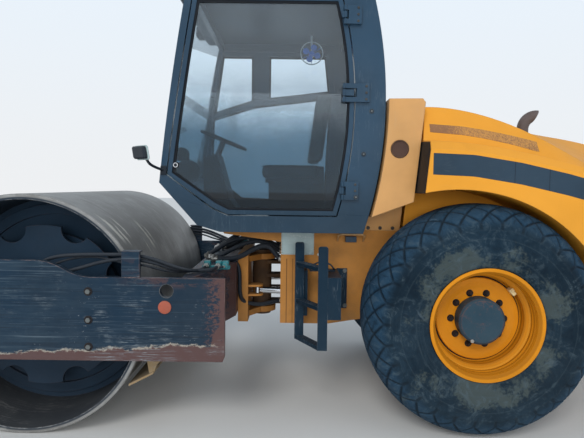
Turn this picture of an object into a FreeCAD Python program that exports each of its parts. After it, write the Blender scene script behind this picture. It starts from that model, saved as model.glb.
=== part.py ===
"""Single-drum road roller: a smooth steel drum in a steerable front frame, and a rear
frame on two wide tyres that carries the cab, the tilting engine hood and the engine.

Frame: millimetres, +X towards the drum, +Y to the machine's left, +Z up.
The origin is on the ground, midway along the machine's length and width.
"""
import FreeCAD
import Part
import math
import os

V = FreeCAD.Vector

# Whole machine
half_width = 1150.0
drum_x = 1885.0
drum_r = 760.0
half_length = drum_x + drum_r + 220.0

# Drum and what carries it
drum_half_width = half_width - 85.0
drum_wall = 36.0
drum_edge_chamfer = 8.0
web_face_y = drum_half_width - 525.0
web_thickness = 30.0
web_ring_in_r = drum_r - 150.0
web_ring_out_r = drum_r - 80.0
web_ring_height = 26.0
drum_tube_r = 210.0
stub_r = 95.0
stub_length = 128.0
running_gap = 0.05
press = 0.5

# Front frame
side_plate_t = 36.0
side_plate_bottom_z = 505.0
side_plate_top_z = 1020.0
hump_top_z = 1120.0
hump_half = 110.0
hump_foot_half = 465.0
front_rear_x = drum_x - drum_r - 513.0
beam_bottom_z = 640.0
beam_top_z = 1022.0
rear_beam_front_x = front_rear_x + 268.0
rear_beam_chamfer_x = front_rear_x + 200.0
rear_beam_flat_half = 500.0
front_beam_depth = 150.0
tie_hole_x = front_rear_x + 355.0
tie_hole_z = 940.0
tie_hole_r = 40.0
arm_bolt_offset_x = 445.0
arm_half_depth = 60.0
arm_half_height = 205.0

# Drum carriers inside the drum's ends
star_face_y = web_face_y + 225.0
star_t = 25.0
star_r = drum_r - 215.0
star_notch_r = 95.0
star_notch_circle_r = star_r + 15.0
star_notches = 8
bearing_plate_y = web_face_y + 60.0
bearing_plate_t = 40.0
bearing_plate_r = star_r - 65.0
mount_r = 62.0
mount_circle_r = bearing_plate_r - 60.0
mount_count = 8
motor_r = 170.0
motor_length = 165.0

# Articulation
pivot_x = 450.0
king_pin_r = 46.0
king_cap_r = 72.0
king_cap_t = 22.0
pivot_housing_r = 76.0
pivot_arm_r = 112.0
pivot_arm_t = 44.0
pivot_arm_top_z = 1046.0
pivot_arm_low_z = 580.0
pivot_gap = 3.0
pivot_flanges = 4
pivot_flange_t = 26.0
pivot_flange_inset = 12.0
yoke_face_x = 536.0
yoke_half_width = 350.0
yoke_bottom_z = 560.0
yoke_top_z = 1075.0

# Steering cylinders, left one; the right one mirrors it
cyl_base_x = -250.0
cyl_base_y = 400.0
cyl_eye_x = 470.0
cyl_eye_y = 290.0
cyl_z = 795.0
barrel_r = 42.0
bore_r = 30.0
barrel_length = 500.0
rod_r = 25.0
rod_length = 480.0
piston_length = 40.0
gland_length = 40.0
eye_r = 32.0
eye_half_height = 22.0
lug_gap = 5.0
lug_t = 16.0

# Rear frame
frame_half = 500.0
frame_plate_t = 25.0
frame_front_x = 290.0
frame_bottom_z = 590.0
frame_tail_z = 680.0
deck_z = 1275.0
engine_deck_z = 1090.0
frame_rear_x = -half_length + 165.0
frame_step_x = -560.0
frame_rise_x = -60.0
nose_plate_x = 265.0
axle_x = -1000.0
axle_tube_r = 105.0
spindle_r = 60.0
spindle_length = 60.0

# Wheels
tyre_r = 745.0
axle_seat_z = tyre_r + 155.0
tyre_half = 292.0
wheel_y = half_width - 2.0 - tyre_half
rim_half = tyre_half - 20.0
bead_r = 330.0
flange_r = 356.0
rim_wall = 12.0
rim_well_depth = 32.0
rim_ridge_h = 6.0
rim_ridges = (168.0, 206.0)
disc_y = wheel_y + 69.0
disc_r = 268.0
disc_t = 22.0
hub_r = 148.0
hub_face_y = disc_y + 105.0

# Cab
cab_half = 800.0
cab_nose_x = 1096.0
cab_nose_z = 1600.0
cab_wall = 55.0
cab_floor_z = deck_z
cab_floor_t = 60.0
cab_top_z = 2900.0
cab_rear_arc_x = 2433.0
cab_rear_arc_z = 2130.0
cab_rear_arc_r = 2830.0
pillar_front_w = 46.0
pillar_rear_w = 200.0
cab_rail = 70.0
glass_t = 8.0
roof_t = 150.0
door_gap = 8.0
door_t = 38.0
door_frame_w = 30.0
hinge_x = -120.0
hinge_y = cab_half + 22
hinge_heights = (cab_floor_z + 285, cab_floor_z + 925, cab_top_z - 200)
knuckle_r = 12.0
hinge_pin_r = 5.0

# Tank cover between the cab and the hood
tank_half = 850.0
tank_top_z = 2165.0
seam_low_x = -600.0
seam_low_z = 1500.0
seam_lean = 0.097
tank_gap = 14.0

# Hood
hood_wall = 14.0
hood_bottom_z = 1000.0
weight_half = 880.0
bay_half = 516.0
arch_inner_y = 530.0
arch_x = -825.0
arch_z = 548.0
arch_r = 1030.0
hood_hinge_x = -half_length + 65.0
hood_hinge_z = 1050.0
hood_pin_r = 15.0
hood_ear_y = 444.0
hood_ear_half = 18.0
hood_ear_r = 30.0
ear_gap = 8.0
exhaust_x = -1690.0
exhaust_y = -150.0
exhaust_r = 48.0
grille_half = 400.0
grille_low_z = 1070.0
grille_top_z = 1400.0

# Ladder and the guarded lamp above it
step_post_half = 32.0
step_post_t = 22.0
step_post_corner = 16.0
step_treads = 3
step_rise = 261.0
step_tread_t = 26.0
step_arm_w = 88.0
step_arm_wall = 8.0
guard_x = -212.0
guard_half = 93.0
guard_reach = 100.0
guard_low_z = 1197.0
guard_top_z = 1252.0
guard_rod_r = 6.5

parts = {}


# Helpers

def box(x0, x1, y0, y1, z0, z1):
    return Part.makeBox(x1 - x0, y1 - y0, z1 - z0, V(x0, y0, z0))


def outline(points, place):
    """Closed wire. A point is (a, b), reached by a line, or (a, b, ma, mb), by an arc through (ma, mb)."""
    edges = []
    last = points[-1][:2]
    for p in points:
        start, end = place(*last), place(*p[:2])
        if len(p) == 4:
            edges.append(Part.Arc(start, place(*p[2:]), end).toShape())
        else:
            edges.append(Part.LineSegment(start, end).toShape())
        last = p[:2]
    return Part.Wire(edges)


def prism_xz(points, y0, y1):
    face = Part.Face(outline(points, lambda a, b: V(a, y0, b)))
    return face.extrude(V(0, y1 - y0, 0))


def prism_xy(points, z0, z1):
    face = Part.Face(outline(points, lambda a, b: V(a, b, z0)))
    return face.extrude(V(0, 0, z1 - z0))


def prism_yz(points, x0, x1):
    face = Part.Face(outline(points, lambda a, b: V(x0, a, b)))
    return face.extrude(V(x1 - x0, 0, 0))


def cyl_y(x, z, r, y0, y1):
    return Part.makeCylinder(r, y1 - y0, V(x, y0, z), V(0, 1, 0))


def cyl_z_axis(x, y, r, z0, z1):
    return Part.makeCylinder(r, z1 - z0, V(x, y, z0), V(0, 0, 1))


def rod_between(a, b, r):
    a, b = V(*a), V(*b)
    return Part.makeCylinder(r, (b - a).Length, a, b - a)


def spun_about_y(profile, x, z):
    """Solid turned about the line through (x, z) along Y, from (radius, y) points."""
    face = Part.Face(outline(profile, lambda r, y: V(x + r, y, z)))
    return face.revolve(V(x, 0, z), V(0, 1, 0), 360)


def ring_about(centre, axis, radius, section_r, sides=8):
    """Ring whose section is a regular polygon, turned about the axis through the centre."""
    pts = []
    for i in range(sides):
        a = 2 * math.pi * (i + 0.5) / sides
        pts.append(V(radius + section_r * math.cos(a), 0, section_r * math.sin(a)))
    face = Part.Face(Part.makePolygon(pts + [pts[0]]))
    ring = face.revolve(V(0, 0, 0), V(0, 0, 1), 360)
    ring.Placement = FreeCAD.Placement(centre, FreeCAD.Rotation(V(0, 0, 1), axis))
    return ring


def mirrored(shape):
    return shape.mirror(V(0, 0, 0), V(0, 1, 0))


def both_sides(shape):
    return Part.makeCompound([shape, mirrored(shape)])


def joined(*shapes):
    whole = shapes[0].multiFuse(list(shapes[1:]))
    return whole.removeSplitter()


def add(name, shape):
    parts[name] = shape


# Drum: the rolled shell, and the spool of two webs, centre tube and stub shafts inside it

def make_drum():
    inner = drum_r - drum_wall
    shell = spun_about_y([
        (inner, -drum_half_width), (drum_r - drum_edge_chamfer, -drum_half_width),
        (drum_r, -drum_half_width + drum_edge_chamfer),
        (drum_r, drum_half_width - drum_edge_chamfer),
        (drum_r - drum_edge_chamfer, drum_half_width), (inner, drum_half_width),
    ], drum_x, drum_r)
    add("drum_shell", shell)
    back = web_face_y - web_thickness
    ring = web_face_y + web_ring_height
    stub = web_face_y + stub_length
    half = [(stub_r, stub), (stub_r, web_face_y), (web_ring_in_r, web_face_y), (web_ring_in_r, ring),
            (web_ring_out_r, ring), (web_ring_out_r, web_face_y), (inner + press, web_face_y),
            (inner + press, back), (drum_tube_r, back)]
    other = [(r, -y) for r, y in reversed(half)]
    spool = spun_about_y([(0, stub)] + half + other + [(0, -stub)], drum_x, drum_r)
    add("drum_webs", spool)


# Front frame: two side plates with a hump over the axle, and a cross beam at each end

def side_plate_outline():
    x0, x1 = front_rear_x, half_length
    top, hump = side_plate_top_z, hump_top_z
    foot, crest = hump_foot_half, hump_half
    slope_z, slope_x = (top + hump) / 2, (foot + crest) / 2
    return [
        (x0 + 12, side_plate_bottom_z), (x1 - 40, side_plate_bottom_z),
        (x1, side_plate_bottom_z + 40, x1 - 12, side_plate_bottom_z + 12), (x1, top),
        (drum_x + foot, top),
        (drum_x + slope_x, slope_z, drum_x + (foot + slope_x) / 2, top + 12),
        (drum_x + crest, hump, drum_x + (crest + slope_x) / 2, hump - 12),
        (drum_x - crest, hump),
        (drum_x - slope_x, slope_z, drum_x - (crest + slope_x) / 2, hump - 12),
        (drum_x - foot, top, drum_x - (foot + slope_x) / 2, top + 12),
        (x0, top), (x0, side_plate_bottom_z + 30),
    ]


def make_front_frame():
    y_in = half_width - side_plate_t
    plate = prism_xz(side_plate_outline(), y_in, half_width)
    plate = plate.cut(cyl_y(tie_hole_x, tie_hole_z, tie_hole_r, y_in - 1, half_width + 1))
    flat = rear_beam_flat_half
    rear = prism_xy([
        (front_rear_x, -flat), (rear_beam_chamfer_x, -y_in), (rear_beam_front_x, -y_in),
        (rear_beam_front_x, y_in), (rear_beam_chamfer_x, y_in), (front_rear_x, flat),
    ], beam_bottom_z, beam_top_z)
    front = box(half_length - front_beam_depth, half_length, -y_in, y_in, beam_bottom_z, beam_top_z)
    add("drum_frame", joined(plate, mirrored(plate), rear, front, *hose_brackets()))


def make_carriers():
    """Star plate with two arms to the side plate and the motor, on each side of the drum."""
    y_in = half_width - side_plate_t
    star = cyl_y(drum_x, drum_r, star_r, star_face_y - star_t, star_face_y)
    for i in range(star_notches):
        a = math.radians(360.0 * (i + 0.5) / star_notches)
        star = star.cut(cyl_y(drum_x + star_notch_circle_r * math.cos(a),
                              drum_r + star_notch_circle_r * math.sin(a),
                              star_notch_r, star_face_y - star_t - 1, star_face_y + 1))
    pieces = [star, cyl_y(drum_x, drum_r, motor_r, star_face_y, star_face_y + motor_length)]
    for side in (-1, 1):
        x = drum_x + side * arm_bolt_offset_x
        pieces.append(box(x - arm_half_depth, x + arm_half_depth, star_face_y - 1, y_in,
                          drum_r - arm_half_height, drum_r + arm_half_height)
                      .cut(box(x - side * 20 - arm_half_depth, x - side * 20 + arm_half_depth,
                               star_face_y + 20, y_in - 20,
                               drum_r - arm_half_height + 20, drum_r + arm_half_height - 20)))
    carrier = joined(*pieces)
    add("drum_carrier_left", carrier)
    add("drum_carrier_right", mirrored(carrier))
    y0 = bearing_plate_y
    plate = cyl_y(drum_x, drum_r, bearing_plate_r, y0, y0 + bearing_plate_t)
    plate = plate.cut(cyl_y(drum_x, drum_r, stub_r + running_gap, y0 - 1, y0 + bearing_plate_t + 1))
    rubbers = []
    for i in range(mount_count):
        a = math.radians(360.0 * i / mount_count)
        rubber = cyl_y(drum_x + mount_circle_r * math.cos(a), drum_r + mount_circle_r * math.sin(a),
                       mount_r, y0 + bearing_plate_t, star_face_y - star_t)
        rubbers.append(rubber)
    add("drum_mounts", both_sides(joined(plate, *rubbers)))


def drum_point(gap, angle):
    """Point off the drum's surface; the angle is below the level line, to the rear."""
    a = math.radians(angle)
    return drum_x - (drum_r + gap) * math.cos(a), drum_r - (drum_r + gap) * math.sin(a)


def make_scrapers():
    """Angled blade across the drum with three hangers, behind the drum and, mirrored, before it."""
    reach = drum_half_width - 20
    t = 14.0
    tip, knee = drum_point(36.0, 34.6), drum_point(132.0, 24.5)
    rear = [prism_xz([tip, knee, (knee[0], knee[1] + t), (tip[0] + 3, tip[1] + t)], -reach, reach)]
    for y in (-reach + 30, 0, reach - 30):
        rear.append(prism_xz([
            (rear_beam_front_x - 70, beam_bottom_z), (rear_beam_front_x - 5, beam_bottom_z),
            (knee[0] + 45, knee[1] + 90), (knee[0] + 30, knee[1] + 1), (knee[0], knee[1] + 1),
            (knee[0] - 20, knee[1] + 60)], y - 22, y + 22))
    rear = joined(*rear)
    tip, knee = [(2 * drum_x - x, z) for x, z in (tip, knee)]
    x0 = half_length - front_beam_depth
    front = [prism_xz([tip, knee, (knee[0], knee[1] + t), (tip[0] - 3, tip[1] + t)], -reach, reach)]
    for y in (-reach + 30, 0, reach - 30):
        front.append(prism_xz([
            (x0 + 20, beam_bottom_z), (x0 + 90, beam_bottom_z), (knee[0] + 20, knee[1] + 60),
            (knee[0], knee[1] + 1), (knee[0] - 30, knee[1] + 1), (knee[0] - 45, knee[1] + 90)], y - 22, y + 22))
    add("drum_scrapers", Part.makeCompound([rear, joined(*front)]))


# Articulation: the yoke on the front frame, and the pivot housing with its pin on the rear frame

def yoke_arm(z0, z1):
    r = pivot_arm_r
    spread = yoke_half_width - 90
    arm = prism_xy([(yoke_face_x, -spread), (pivot_x, -r), (pivot_x, r, pivot_x - r, 0),
                    (yoke_face_x, spread)], z0, z1)
    return arm.cut(cyl_z_axis(pivot_x, 0, king_pin_r + running_gap, z0 - 1, z1 + 1))


def make_yoke():
    base = box(yoke_face_x, front_rear_x, -yoke_half_width, yoke_half_width, yoke_bottom_z, yoke_top_z)
    low = yoke_arm(pivot_arm_low_z, pivot_arm_low_z + pivot_arm_t)
    high = yoke_arm(pivot_arm_top_z - pivot_arm_t, pivot_arm_top_z)
    lugs = []
    for side in (-1, 1):
        y = side * cyl_eye_y
        for z0 in (cyl_z - eye_half_height - lug_gap - lug_t, cyl_z + eye_half_height + lug_gap):
            lugs.append(prism_xy([(yoke_face_x, y - 55), (cyl_eye_x, y - 45),
                                  (cyl_eye_x, y + 45, cyl_eye_x - 45, y), (yoke_face_x, y + 55)],
                                 z0, z0 + lug_t))
    add("pivot_yoke", joined(base, low, high, *lugs))


def make_pivot():
    low = pivot_arm_low_z + pivot_arm_t + pivot_gap
    high = pivot_arm_top_z - pivot_arm_t - pivot_gap
    housing = cyl_z_axis(pivot_x, 0, pivot_housing_r, low, high)
    step = (high - low - 2 * pivot_flange_inset - pivot_flange_t) / (pivot_flanges - 1)
    flanges = []
    for k in range(pivot_flanges):
        z = low + pivot_flange_inset + k * step
        flanges.append(box(nose_plate_x, pivot_x - 20, -62, 62, z, z + pivot_flange_t))
    foot = box(nose_plate_x, nose_plate_x + 26, -150, 150, low - 10, high + 10)
    block = joined(housing, foot, *flanges)
    block = block.cut(cyl_z_axis(pivot_x, 0, king_pin_r, low - 1, high + 1))
    pin = cyl_z_axis(pivot_x, 0, king_pin_r, pivot_arm_low_z - pivot_gap, pivot_arm_top_z + pivot_gap)
    caps = [cyl_z_axis(pivot_x, 0, king_cap_r, pivot_arm_top_z + pivot_gap, pivot_arm_top_z + pivot_gap + king_cap_t),
            cyl_z_axis(pivot_x, 0, king_cap_r, pivot_arm_low_z - pivot_gap - king_cap_t, pivot_arm_low_z - pivot_gap)]
    add("pivot_housing", joined(block, pin, *caps))


def make_steering_cylinders():
    dx, dy = cyl_eye_x - cyl_base_x, cyl_eye_y - cyl_base_y
    length = math.hypot(dx, dy)
    turn = math.degrees(math.atan2(dy, dx))

    def placed(shape):
        shape = shape.copy()
        shape.rotate(V(0, 0, 0), V(0, 0, 1), turn)
        shape.translate(V(cyl_base_x, cyl_base_y, cyl_z))
        return shape

    def spun_x(profile):
        face = Part.Face(outline(profile, lambda a, r: V(a, r, 0)))
        return face.revolve(V(0, 0, 0), V(1, 0, 0), 360)

    barrel = spun_x([(25, 0), (60, 0), (60, bore_r), (barrel_length - gland_length, bore_r),
                     (barrel_length - gland_length, rod_r + running_gap), (barrel_length, rod_r + running_gap),
                     (barrel_length, barrel_r + 6), (barrel_length - gland_length, barrel_r + 6),
                     (barrel_length - gland_length, barrel_r), (50, barrel_r), (50, 20), (25, 20)])
    base_eye = Part.makeCylinder(eye_r, 2 * eye_half_height, V(0, 0, -eye_half_height))
    base_eye = base_eye.cut(Part.makeCylinder(16 + running_gap, 200, V(0, 0, -100)))
    barrel = joined(barrel, base_eye)
    barrel = barrel.cut(Part.makeCylinder(16 + running_gap, 200, V(0, 0, -100)))
    tail = length - rod_length
    rod = spun_x([(tail, 0), (length - eye_r + 6, 0), (length - eye_r + 6, rod_r), (tail + piston_length, rod_r),
                  (tail + piston_length, bore_r - running_gap), (tail, bore_r - running_gap)])
    eye = Part.makeCylinder(eye_r, 2 * eye_half_height, V(length, 0, -eye_half_height))
    pin = Part.makeCylinder(15, 2 * eye_half_height + 6, V(length, 0, -eye_half_height - 3))
    rod = joined(rod, eye, pin)
    for name, shape in (("barrel", placed(barrel)), ("rod", placed(rod))):
        add("steering_%s_left" % name, shape)
        add("steering_%s_right" % name, mirrored(shape))


# Rear frame: two long plates, cross members, and the pins that hold the steering cylinders

def frame_side_outline():
    f, b, tail = frame_front_x, frame_bottom_z, frame_tail_z
    notch = 300.0
    return [
        (f, b), (f, deck_z - 92), (700, deck_z - 36), (722, deck_z), (frame_step_x, deck_z),
        (frame_step_x, engine_deck_z), (frame_rear_x, engine_deck_z - 110), (frame_rear_x, tail),
        (axle_x - notch - 60, tail), (axle_x - notch, tail + 90, axle_x - notch - 22, tail + 30),
        (axle_x - 200, axle_seat_z), (axle_x + 200, axle_seat_z),
        (axle_x + notch, tail + 90), (axle_x + notch + 60, tail, axle_x + notch + 22, tail + 30),
        (frame_rise_x - 150, b + 25), (frame_rise_x, b),
    ]


def make_rear_frame():
    y0, y1 = frame_half - frame_plate_t, frame_half
    plate = prism_xz(frame_side_outline(), y0, y1)
    nose = box(nose_plate_x - 25, nose_plate_x, -y0, y0, frame_bottom_z + 40, deck_z - 100)
    for side in (-1, 1):
        y = side * (cyl_eye_y + 25)
        nose = nose.cut(box(nose_plate_x - 30, nose_plate_x + 5, y - 115, y + 115, cyl_z - 90, cyl_z + 90))
    cross = [
        box(-600, -560, -y0, y0, frame_tail_z + 20, engine_deck_z),
        box(frame_rear_x + 1280, frame_rear_x + 1360, -y0, y0, engine_deck_z - 120, engine_deck_z - 20),
        box(frame_rear_x + 460, frame_rear_x + 540, -y0, y0, engine_deck_z - 160, engine_deck_z - 20),
        box(frame_rear_x + 40, frame_rear_x + 160, -y0, y0, engine_deck_z - 150, engine_deck_z - 100),
        box(cyl_base_x - 180, cyl_base_x - 150, -y0, y0, frame_bottom_z + 70, deck_z - 250),
    ]
    brackets = []
    for side in (-1, 1):
        y = side * cyl_base_y
        for z0 in (cyl_z - eye_half_height - 25, cyl_z + eye_half_height + 5):
            brackets.append(box(cyl_base_x - 155, cyl_base_x + 26, y - 40, y + 40, z0, z0 + 20))
        brackets.append(cyl_z_axis(cyl_base_x, y, 16, cyl_z - eye_half_height - 10, cyl_z + eye_half_height + 10))
    add("rear_frame", joined(plate, mirrored(plate), nose, *cross, *brackets))


def make_axle():
    reach = disc_y - disc_t - 10
    tube = cyl_y(axle_x, tyre_r, axle_tube_r, -reach, reach)
    spindles = cyl_y(axle_x, tyre_r, spindle_r, -reach - spindle_length, reach + spindle_length)
    bowl = spun_about_y([(215 * math.cos(a), 215 * math.sin(a))
                         for a in [math.radians(k) for k in (-90, -55, -25, 0, 25, 55, 90)]], axle_x, tyre_r)
    pads = [box(axle_x - 110, axle_x + 110, y - 45, y + 45, tyre_r + 60, axle_seat_z) for y in (-460, 460)]
    nose = Part.makeCone(120, 70, 190, V(axle_x + 150, 0, tyre_r), V(1, 0, 0))
    add("rear_axle", joined(tube, spindles, bowl, nose, *pads))


# Wheels: tyre, rim with its dished disc, and the hub with its stub

def make_wheels():
    y = wheel_y
    half = [(bead_r - press, rim_half - 18), (tyre_r - 150, tyre_half), (tyre_r - 45, tyre_half - 58),
            (tyre_r, tyre_half - 168)]
    other = [(r, y - a) for r, a in reversed(half)]
    tyre = spun_about_y([(r, y + a) for r, a in half] + other, axle_x, tyre_r)
    wall_r = bead_r - rim_wall
    well_r = bead_r - rim_well_depth
    ridges = []
    for a in rim_ridges:
        ridges += [(wall_r, y + a - 14), (wall_r - rim_ridge_h, y + a - 5), (wall_r - rim_ridge_h, y + a + 5),
                   (wall_r, y + a + 14)]
    rim = spun_about_y([
        (flange_r, y + rim_half), (flange_r, y + rim_half - 10), (bead_r, y + rim_half - 16),
        (bead_r, y + 138), (well_r, y + 113), (well_r, y + 10), (bead_r, y - 15), (bead_r, y - rim_half + 16),
        (flange_r, y - rim_half + 10), (flange_r, y - rim_half), (wall_r, y - rim_half + 22),
        (wall_r, y - 18), (well_r - rim_wall, y + 8), (well_r - rim_wall, y + 118), (wall_r, y + 144),
    ] + ridges + [(wall_r, y + rim_half - 22), (flange_r - 20, y + rim_half)], axle_x, tyre_r)
    # The disc's raised edge stands free of the rim, and a weld behind it joins the two
    seat_r = well_r - rim_wall
    disc = spun_about_y([
        (118, disc_y), (200, disc_y), (disc_r - 32, disc_y + 6), (disc_r - 4, disc_y + 6),
        (disc_r, disc_y + 2), (disc_r, disc_y - 14), (seat_r - 8, disc_y - 14), (seat_r, disc_y - 6),
        (seat_r, disc_y - 36), (200, disc_y - disc_t), (118, disc_y - disc_t),
    ], axle_x, tyre_r)
    inner_y = disc_y - disc_t - 4
    hub = spun_about_y([
        (0, hub_face_y), (hub_r - 14, hub_face_y), (hub_r, hub_face_y - 14), (hub_r, disc_y), (117, disc_y),
        (117, inner_y), (spindle_r + running_gap, inner_y),
        (spindle_r + running_gap, inner_y + spindle_length), (0, inner_y + spindle_length),
    ], axle_x, tyre_r)
    wheel = joined(rim, disc)
    for name, shape in (("tyre", tyre), ("rim", wheel), ("hub", hub)):
        add(name + "_left", shape)
        add(name + "_right", mirrored(shape))


# Cab

def cab_rear_x(z, extra=0.0):
    return cab_rear_arc_x - math.sqrt((cab_rear_arc_r + extra) ** 2 - (z - cab_rear_arc_z) ** 2)


def cab_front_x(z):
    return cab_nose_x - 134.0 * ((z - cab_nose_z) / 1000.0) ** 1.2 if z > cab_nose_z else cab_nose_x


def cab_outline(low_front, low_back, front, rear, top):
    """The cab seen from the side, drawn in by the given margins."""
    z_top = cab_top_z - top
    z_mid, z_knee = 2150.0, cab_nose_z
    z_low = cab_floor_z + low_back
    return [
        (690 - low_front * 0.3, z_low), (845 - low_front * 0.65, z_low + 45),
        (cab_nose_x - front, z_knee + low_front * 0.35),
        (cab_front_x(z_top) - front, z_top, cab_front_x(z_mid) - front, z_mid),
        (cab_rear_x(z_top, -rear), z_top),
        (cab_rear_x(z_low, -rear), z_low, cab_rear_x(z_mid, -rear), z_mid),
    ]


def make_cab():
    y0, y1 = cab_half - cab_wall, cab_half
    whole = cab_outline(0, 0, 0, 0, 0)
    opening = cab_outline(150, 110, pillar_front_w, pillar_rear_w, cab_rail)
    ring = prism_xz(whole, y0, y1).cut(prism_xz(opening, y0 - 1, y1 + 1))
    sill_zone = prism_xz([(1300, 1000), (1300, 1620), (840, 1455), (-500, 1380), (-500, 1000)], y0 - 1, y1 + 1)
    ring_top = ring.cut(sill_zone)
    left_sill = ring.common(sill_zone)
    inner = cab_half - cab_wall
    floor_profile = [
        (690, cab_floor_z), (845, cab_floor_z + 45), (cab_nose_x, cab_nose_z), (cab_nose_x - 4, 1650),
        (1046, 1650), (820, 1395),
        (680, cab_floor_z + cab_floor_t), (cab_rear_x(cab_floor_z + cab_floor_t), cab_floor_z + cab_floor_t),
        (cab_rear_x(cab_floor_z), cab_floor_z),
    ]
    floor = prism_xz(floor_profile, -inner, inner)
    add("cab_floor", joined(floor, left_sill, mirrored(left_sill)))
    top_rail_front = box(cab_front_x(cab_top_z) - pillar_front_w, cab_front_x(cab_top_z) - 4, -inner, inner,
                         cab_top_z - cab_rail, cab_top_z)
    rear_x = cab_rear_x(cab_top_z)
    top_rail_rear = box(rear_x + 4, rear_x + 64, -inner, inner, cab_top_z - cab_rail, cab_top_z)
    add("cab_frame", joined(ring_top, mirrored(ring_top), top_rail_front, top_rail_rear, *hinge_plates()))
    add("cab_roof", make_roof())
    # Back wall follows the cab's rear curve, with the rear window cut through it
    back_low = prism_xz([
        (cab_rear_x(1335), 1335), (cab_rear_x(2830), 2830, cab_rear_x(2150), 2150),
        (cab_rear_x(2830, -35), 2830), (cab_rear_x(1335, -35), 1335, cab_rear_x(2150, -35), 2150),
    ], -inner, inner)
    window = box(-600, 0, -inner + 90, inner - 90, 1930, 2740)
    add("cab_back_wall", back_low.cut(window))
    pane = prism_xz([
        (cab_rear_x(1930, -12), 1930), (cab_rear_x(2740, -12), 2740, cab_rear_x(2300, -12), 2300),
        (cab_rear_x(2740, -20), 2740), (cab_rear_x(1930, -20), 1930, cab_rear_x(2300, -20), 2300),
    ], -inner + 90, inner - 90)
    lower_z, upper_z = cab_nose_z + 50, cab_top_z - cab_rail
    x_low, x_high = cab_front_x(lower_z) - 26, cab_front_x(upper_z) - 26
    x_mid = cab_front_x(2150) - 26
    screen = prism_xz([
        (x_low, lower_z), (x_high, upper_z, x_mid, 2150), (x_high - glass_t, upper_z),
        (x_low - glass_t, lower_z, x_mid - glass_t, 2150),
    ], -inner, inner)
    # Right side: the opening is closed by a window frame with two lights and a lower panel
    fit = cab_outline(150, 110, pillar_front_w, pillar_rear_w, cab_rail)
    wall = prism_xz(fit, -cab_half + 8, -cab_half + 46)
    front_cut = [(590, 2370), (955, 2252), (880, 2790), (590, 2790)]
    rear_cut = [(445, 2392), (445, 2790), (-88, 2790), (-125, 2462)]
    low_cut = [(970, 2203), (575, 2330), (-140, 2420), (-96, 1425), (700, 1455), (985, 1680)]
    for cut in (front_cut, rear_cut, low_cut):
        wall = wall.cut(prism_xz(cut, -cab_half - 1, -cab_half + 100))
    add("right_wall", wall)
    panes = [prism_xz(cut, -cab_half + 22, -cab_half + 22 + glass_t) for cut in (front_cut, rear_cut, low_cut)]
    add("cab_glass", Part.makeCompound([screen, pane] + panes))


def make_roof():
    z0, z1 = cab_top_z, cab_top_z + roof_t
    side = [(-335, z0), (1020, z0), (1040, z0 + 20), (1040, z0 + 90), (960, z1 - 12, 1024, z1 - 30),
            (-280, z1, 300, z1 + 8), (-355, z0 + 85, -338, z1 - 24), (-355, z0 + 20)]
    roof = prism_xz(side, -cab_half - 15, cab_half + 15)
    edges = [e for e in roof.Edges if abs(e.BoundBox.YLength) < 1 and e.BoundBox.ZMax > z1 - 20
             and abs(e.BoundBox.ZLength) < 40 and e.BoundBox.XLength > 1000]
    return roof.makeFillet(45, edges) if edges else roof


def make_door():
    """Full-height glass door; the frame is a thin ring and the glass sits inside it."""
    y0, y1 = cab_half - door_t, cab_half
    outer = cab_outline(150 + door_gap, 110 + door_gap, pillar_front_w + door_gap,
                        pillar_rear_w + door_gap, cab_rail + door_gap)
    w = door_gap + door_frame_w
    inner = cab_outline(150 + w, 110 + w, pillar_front_w + w, pillar_rear_w + w, cab_rail + w)
    ring = prism_xz(outer, y0, y1).cut(prism_xz(inner, y0 - 1, y1 + 1))
    pane = prism_xz(inner, y0 + 14, y0 + 14 + glass_t)
    hinges = []
    for z in hinge_heights:
        leaf_x = cab_rear_x(z, -pillar_rear_w - door_gap)
        x0, x1 = min(hinge_x, leaf_x + 4), max(leaf_x + 28, hinge_x)
        hinges.append(cyl_z_axis(hinge_x, hinge_y, knuckle_r, z - 20, z + 20))
        hinges.append(box(x0, x1, cab_half - 2, hinge_y + 6, z - 20, z + 20))
    bore = cyl_z_axis(hinge_x, hinge_y, hinge_pin_r + running_gap, cab_floor_z, cab_top_z)
    add("door_frame", joined(ring, *hinges).cut(bore))
    add("door_glass", pane)


def hinge_plates():
    plates = []
    for z in hinge_heights:
        edge_x = cab_rear_x(z, -pillar_rear_w)
        base = box(edge_x - 90, edge_x - 6, cab_half, hinge_y + 6, z - 60, z + 60)
        arms = [box(edge_x - 7, hinge_x, cab_half + 7, hinge_y + 6, a, a + 32) for a in (z - 60, z + 28)]
        knuckles = [cyl_z_axis(hinge_x, hinge_y, knuckle_r, a, a + 32) for a in (z - 60, z + 28)]
        pin = cyl_z_axis(hinge_x, hinge_y, hinge_pin_r, z - 60, z + 60)
        plates.append(joined(base, *arms, *knuckles, pin))
    return plates


# Tank cover behind the cab, wide above the tyres and narrow between them

def seam_x(z):
    """Leaning plane where the hood's front meets the tank cover."""
    return seam_low_x - seam_lean * (z - seam_low_z)


def make_tank_cover():
    rear_curve = cyl_y(cab_rear_arc_x, cab_rear_arc_z, cab_rear_arc_r + tank_gap, -900, 900)
    low_z, top_z = 1492.0, tank_top_z
    upper = prism_xz([(-250, 1366), (seam_x(low_z) + tank_gap, low_z), (seam_x(top_z - 24) + tank_gap, top_z - 24),
                      (seam_x(top_z) + tank_gap + 22, top_z), (-250, top_z - 6)],
                     -tank_half, tank_half).cut(rear_curve)
    low = prism_xz([(-250, deck_z), (seam_x(deck_z) + tank_gap, deck_z), (seam_x(1620) + tank_gap, 1620),
                    (-250, 1620)], -frame_half, frame_half).cut(rear_curve)
    low = low.cut(box(-400, 0, -frame_half - 1, frame_half + 1, deck_z - 1, cab_floor_z + cab_floor_t + 80)
                  .common(rear_curve))
    cover = joined(upper, low)
    plug = cyl_y(-487, 1836, 60, tank_half - 8, tank_half + 5)
    add("tank_cover", cover.cut(both_sides(plug)))


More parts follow.
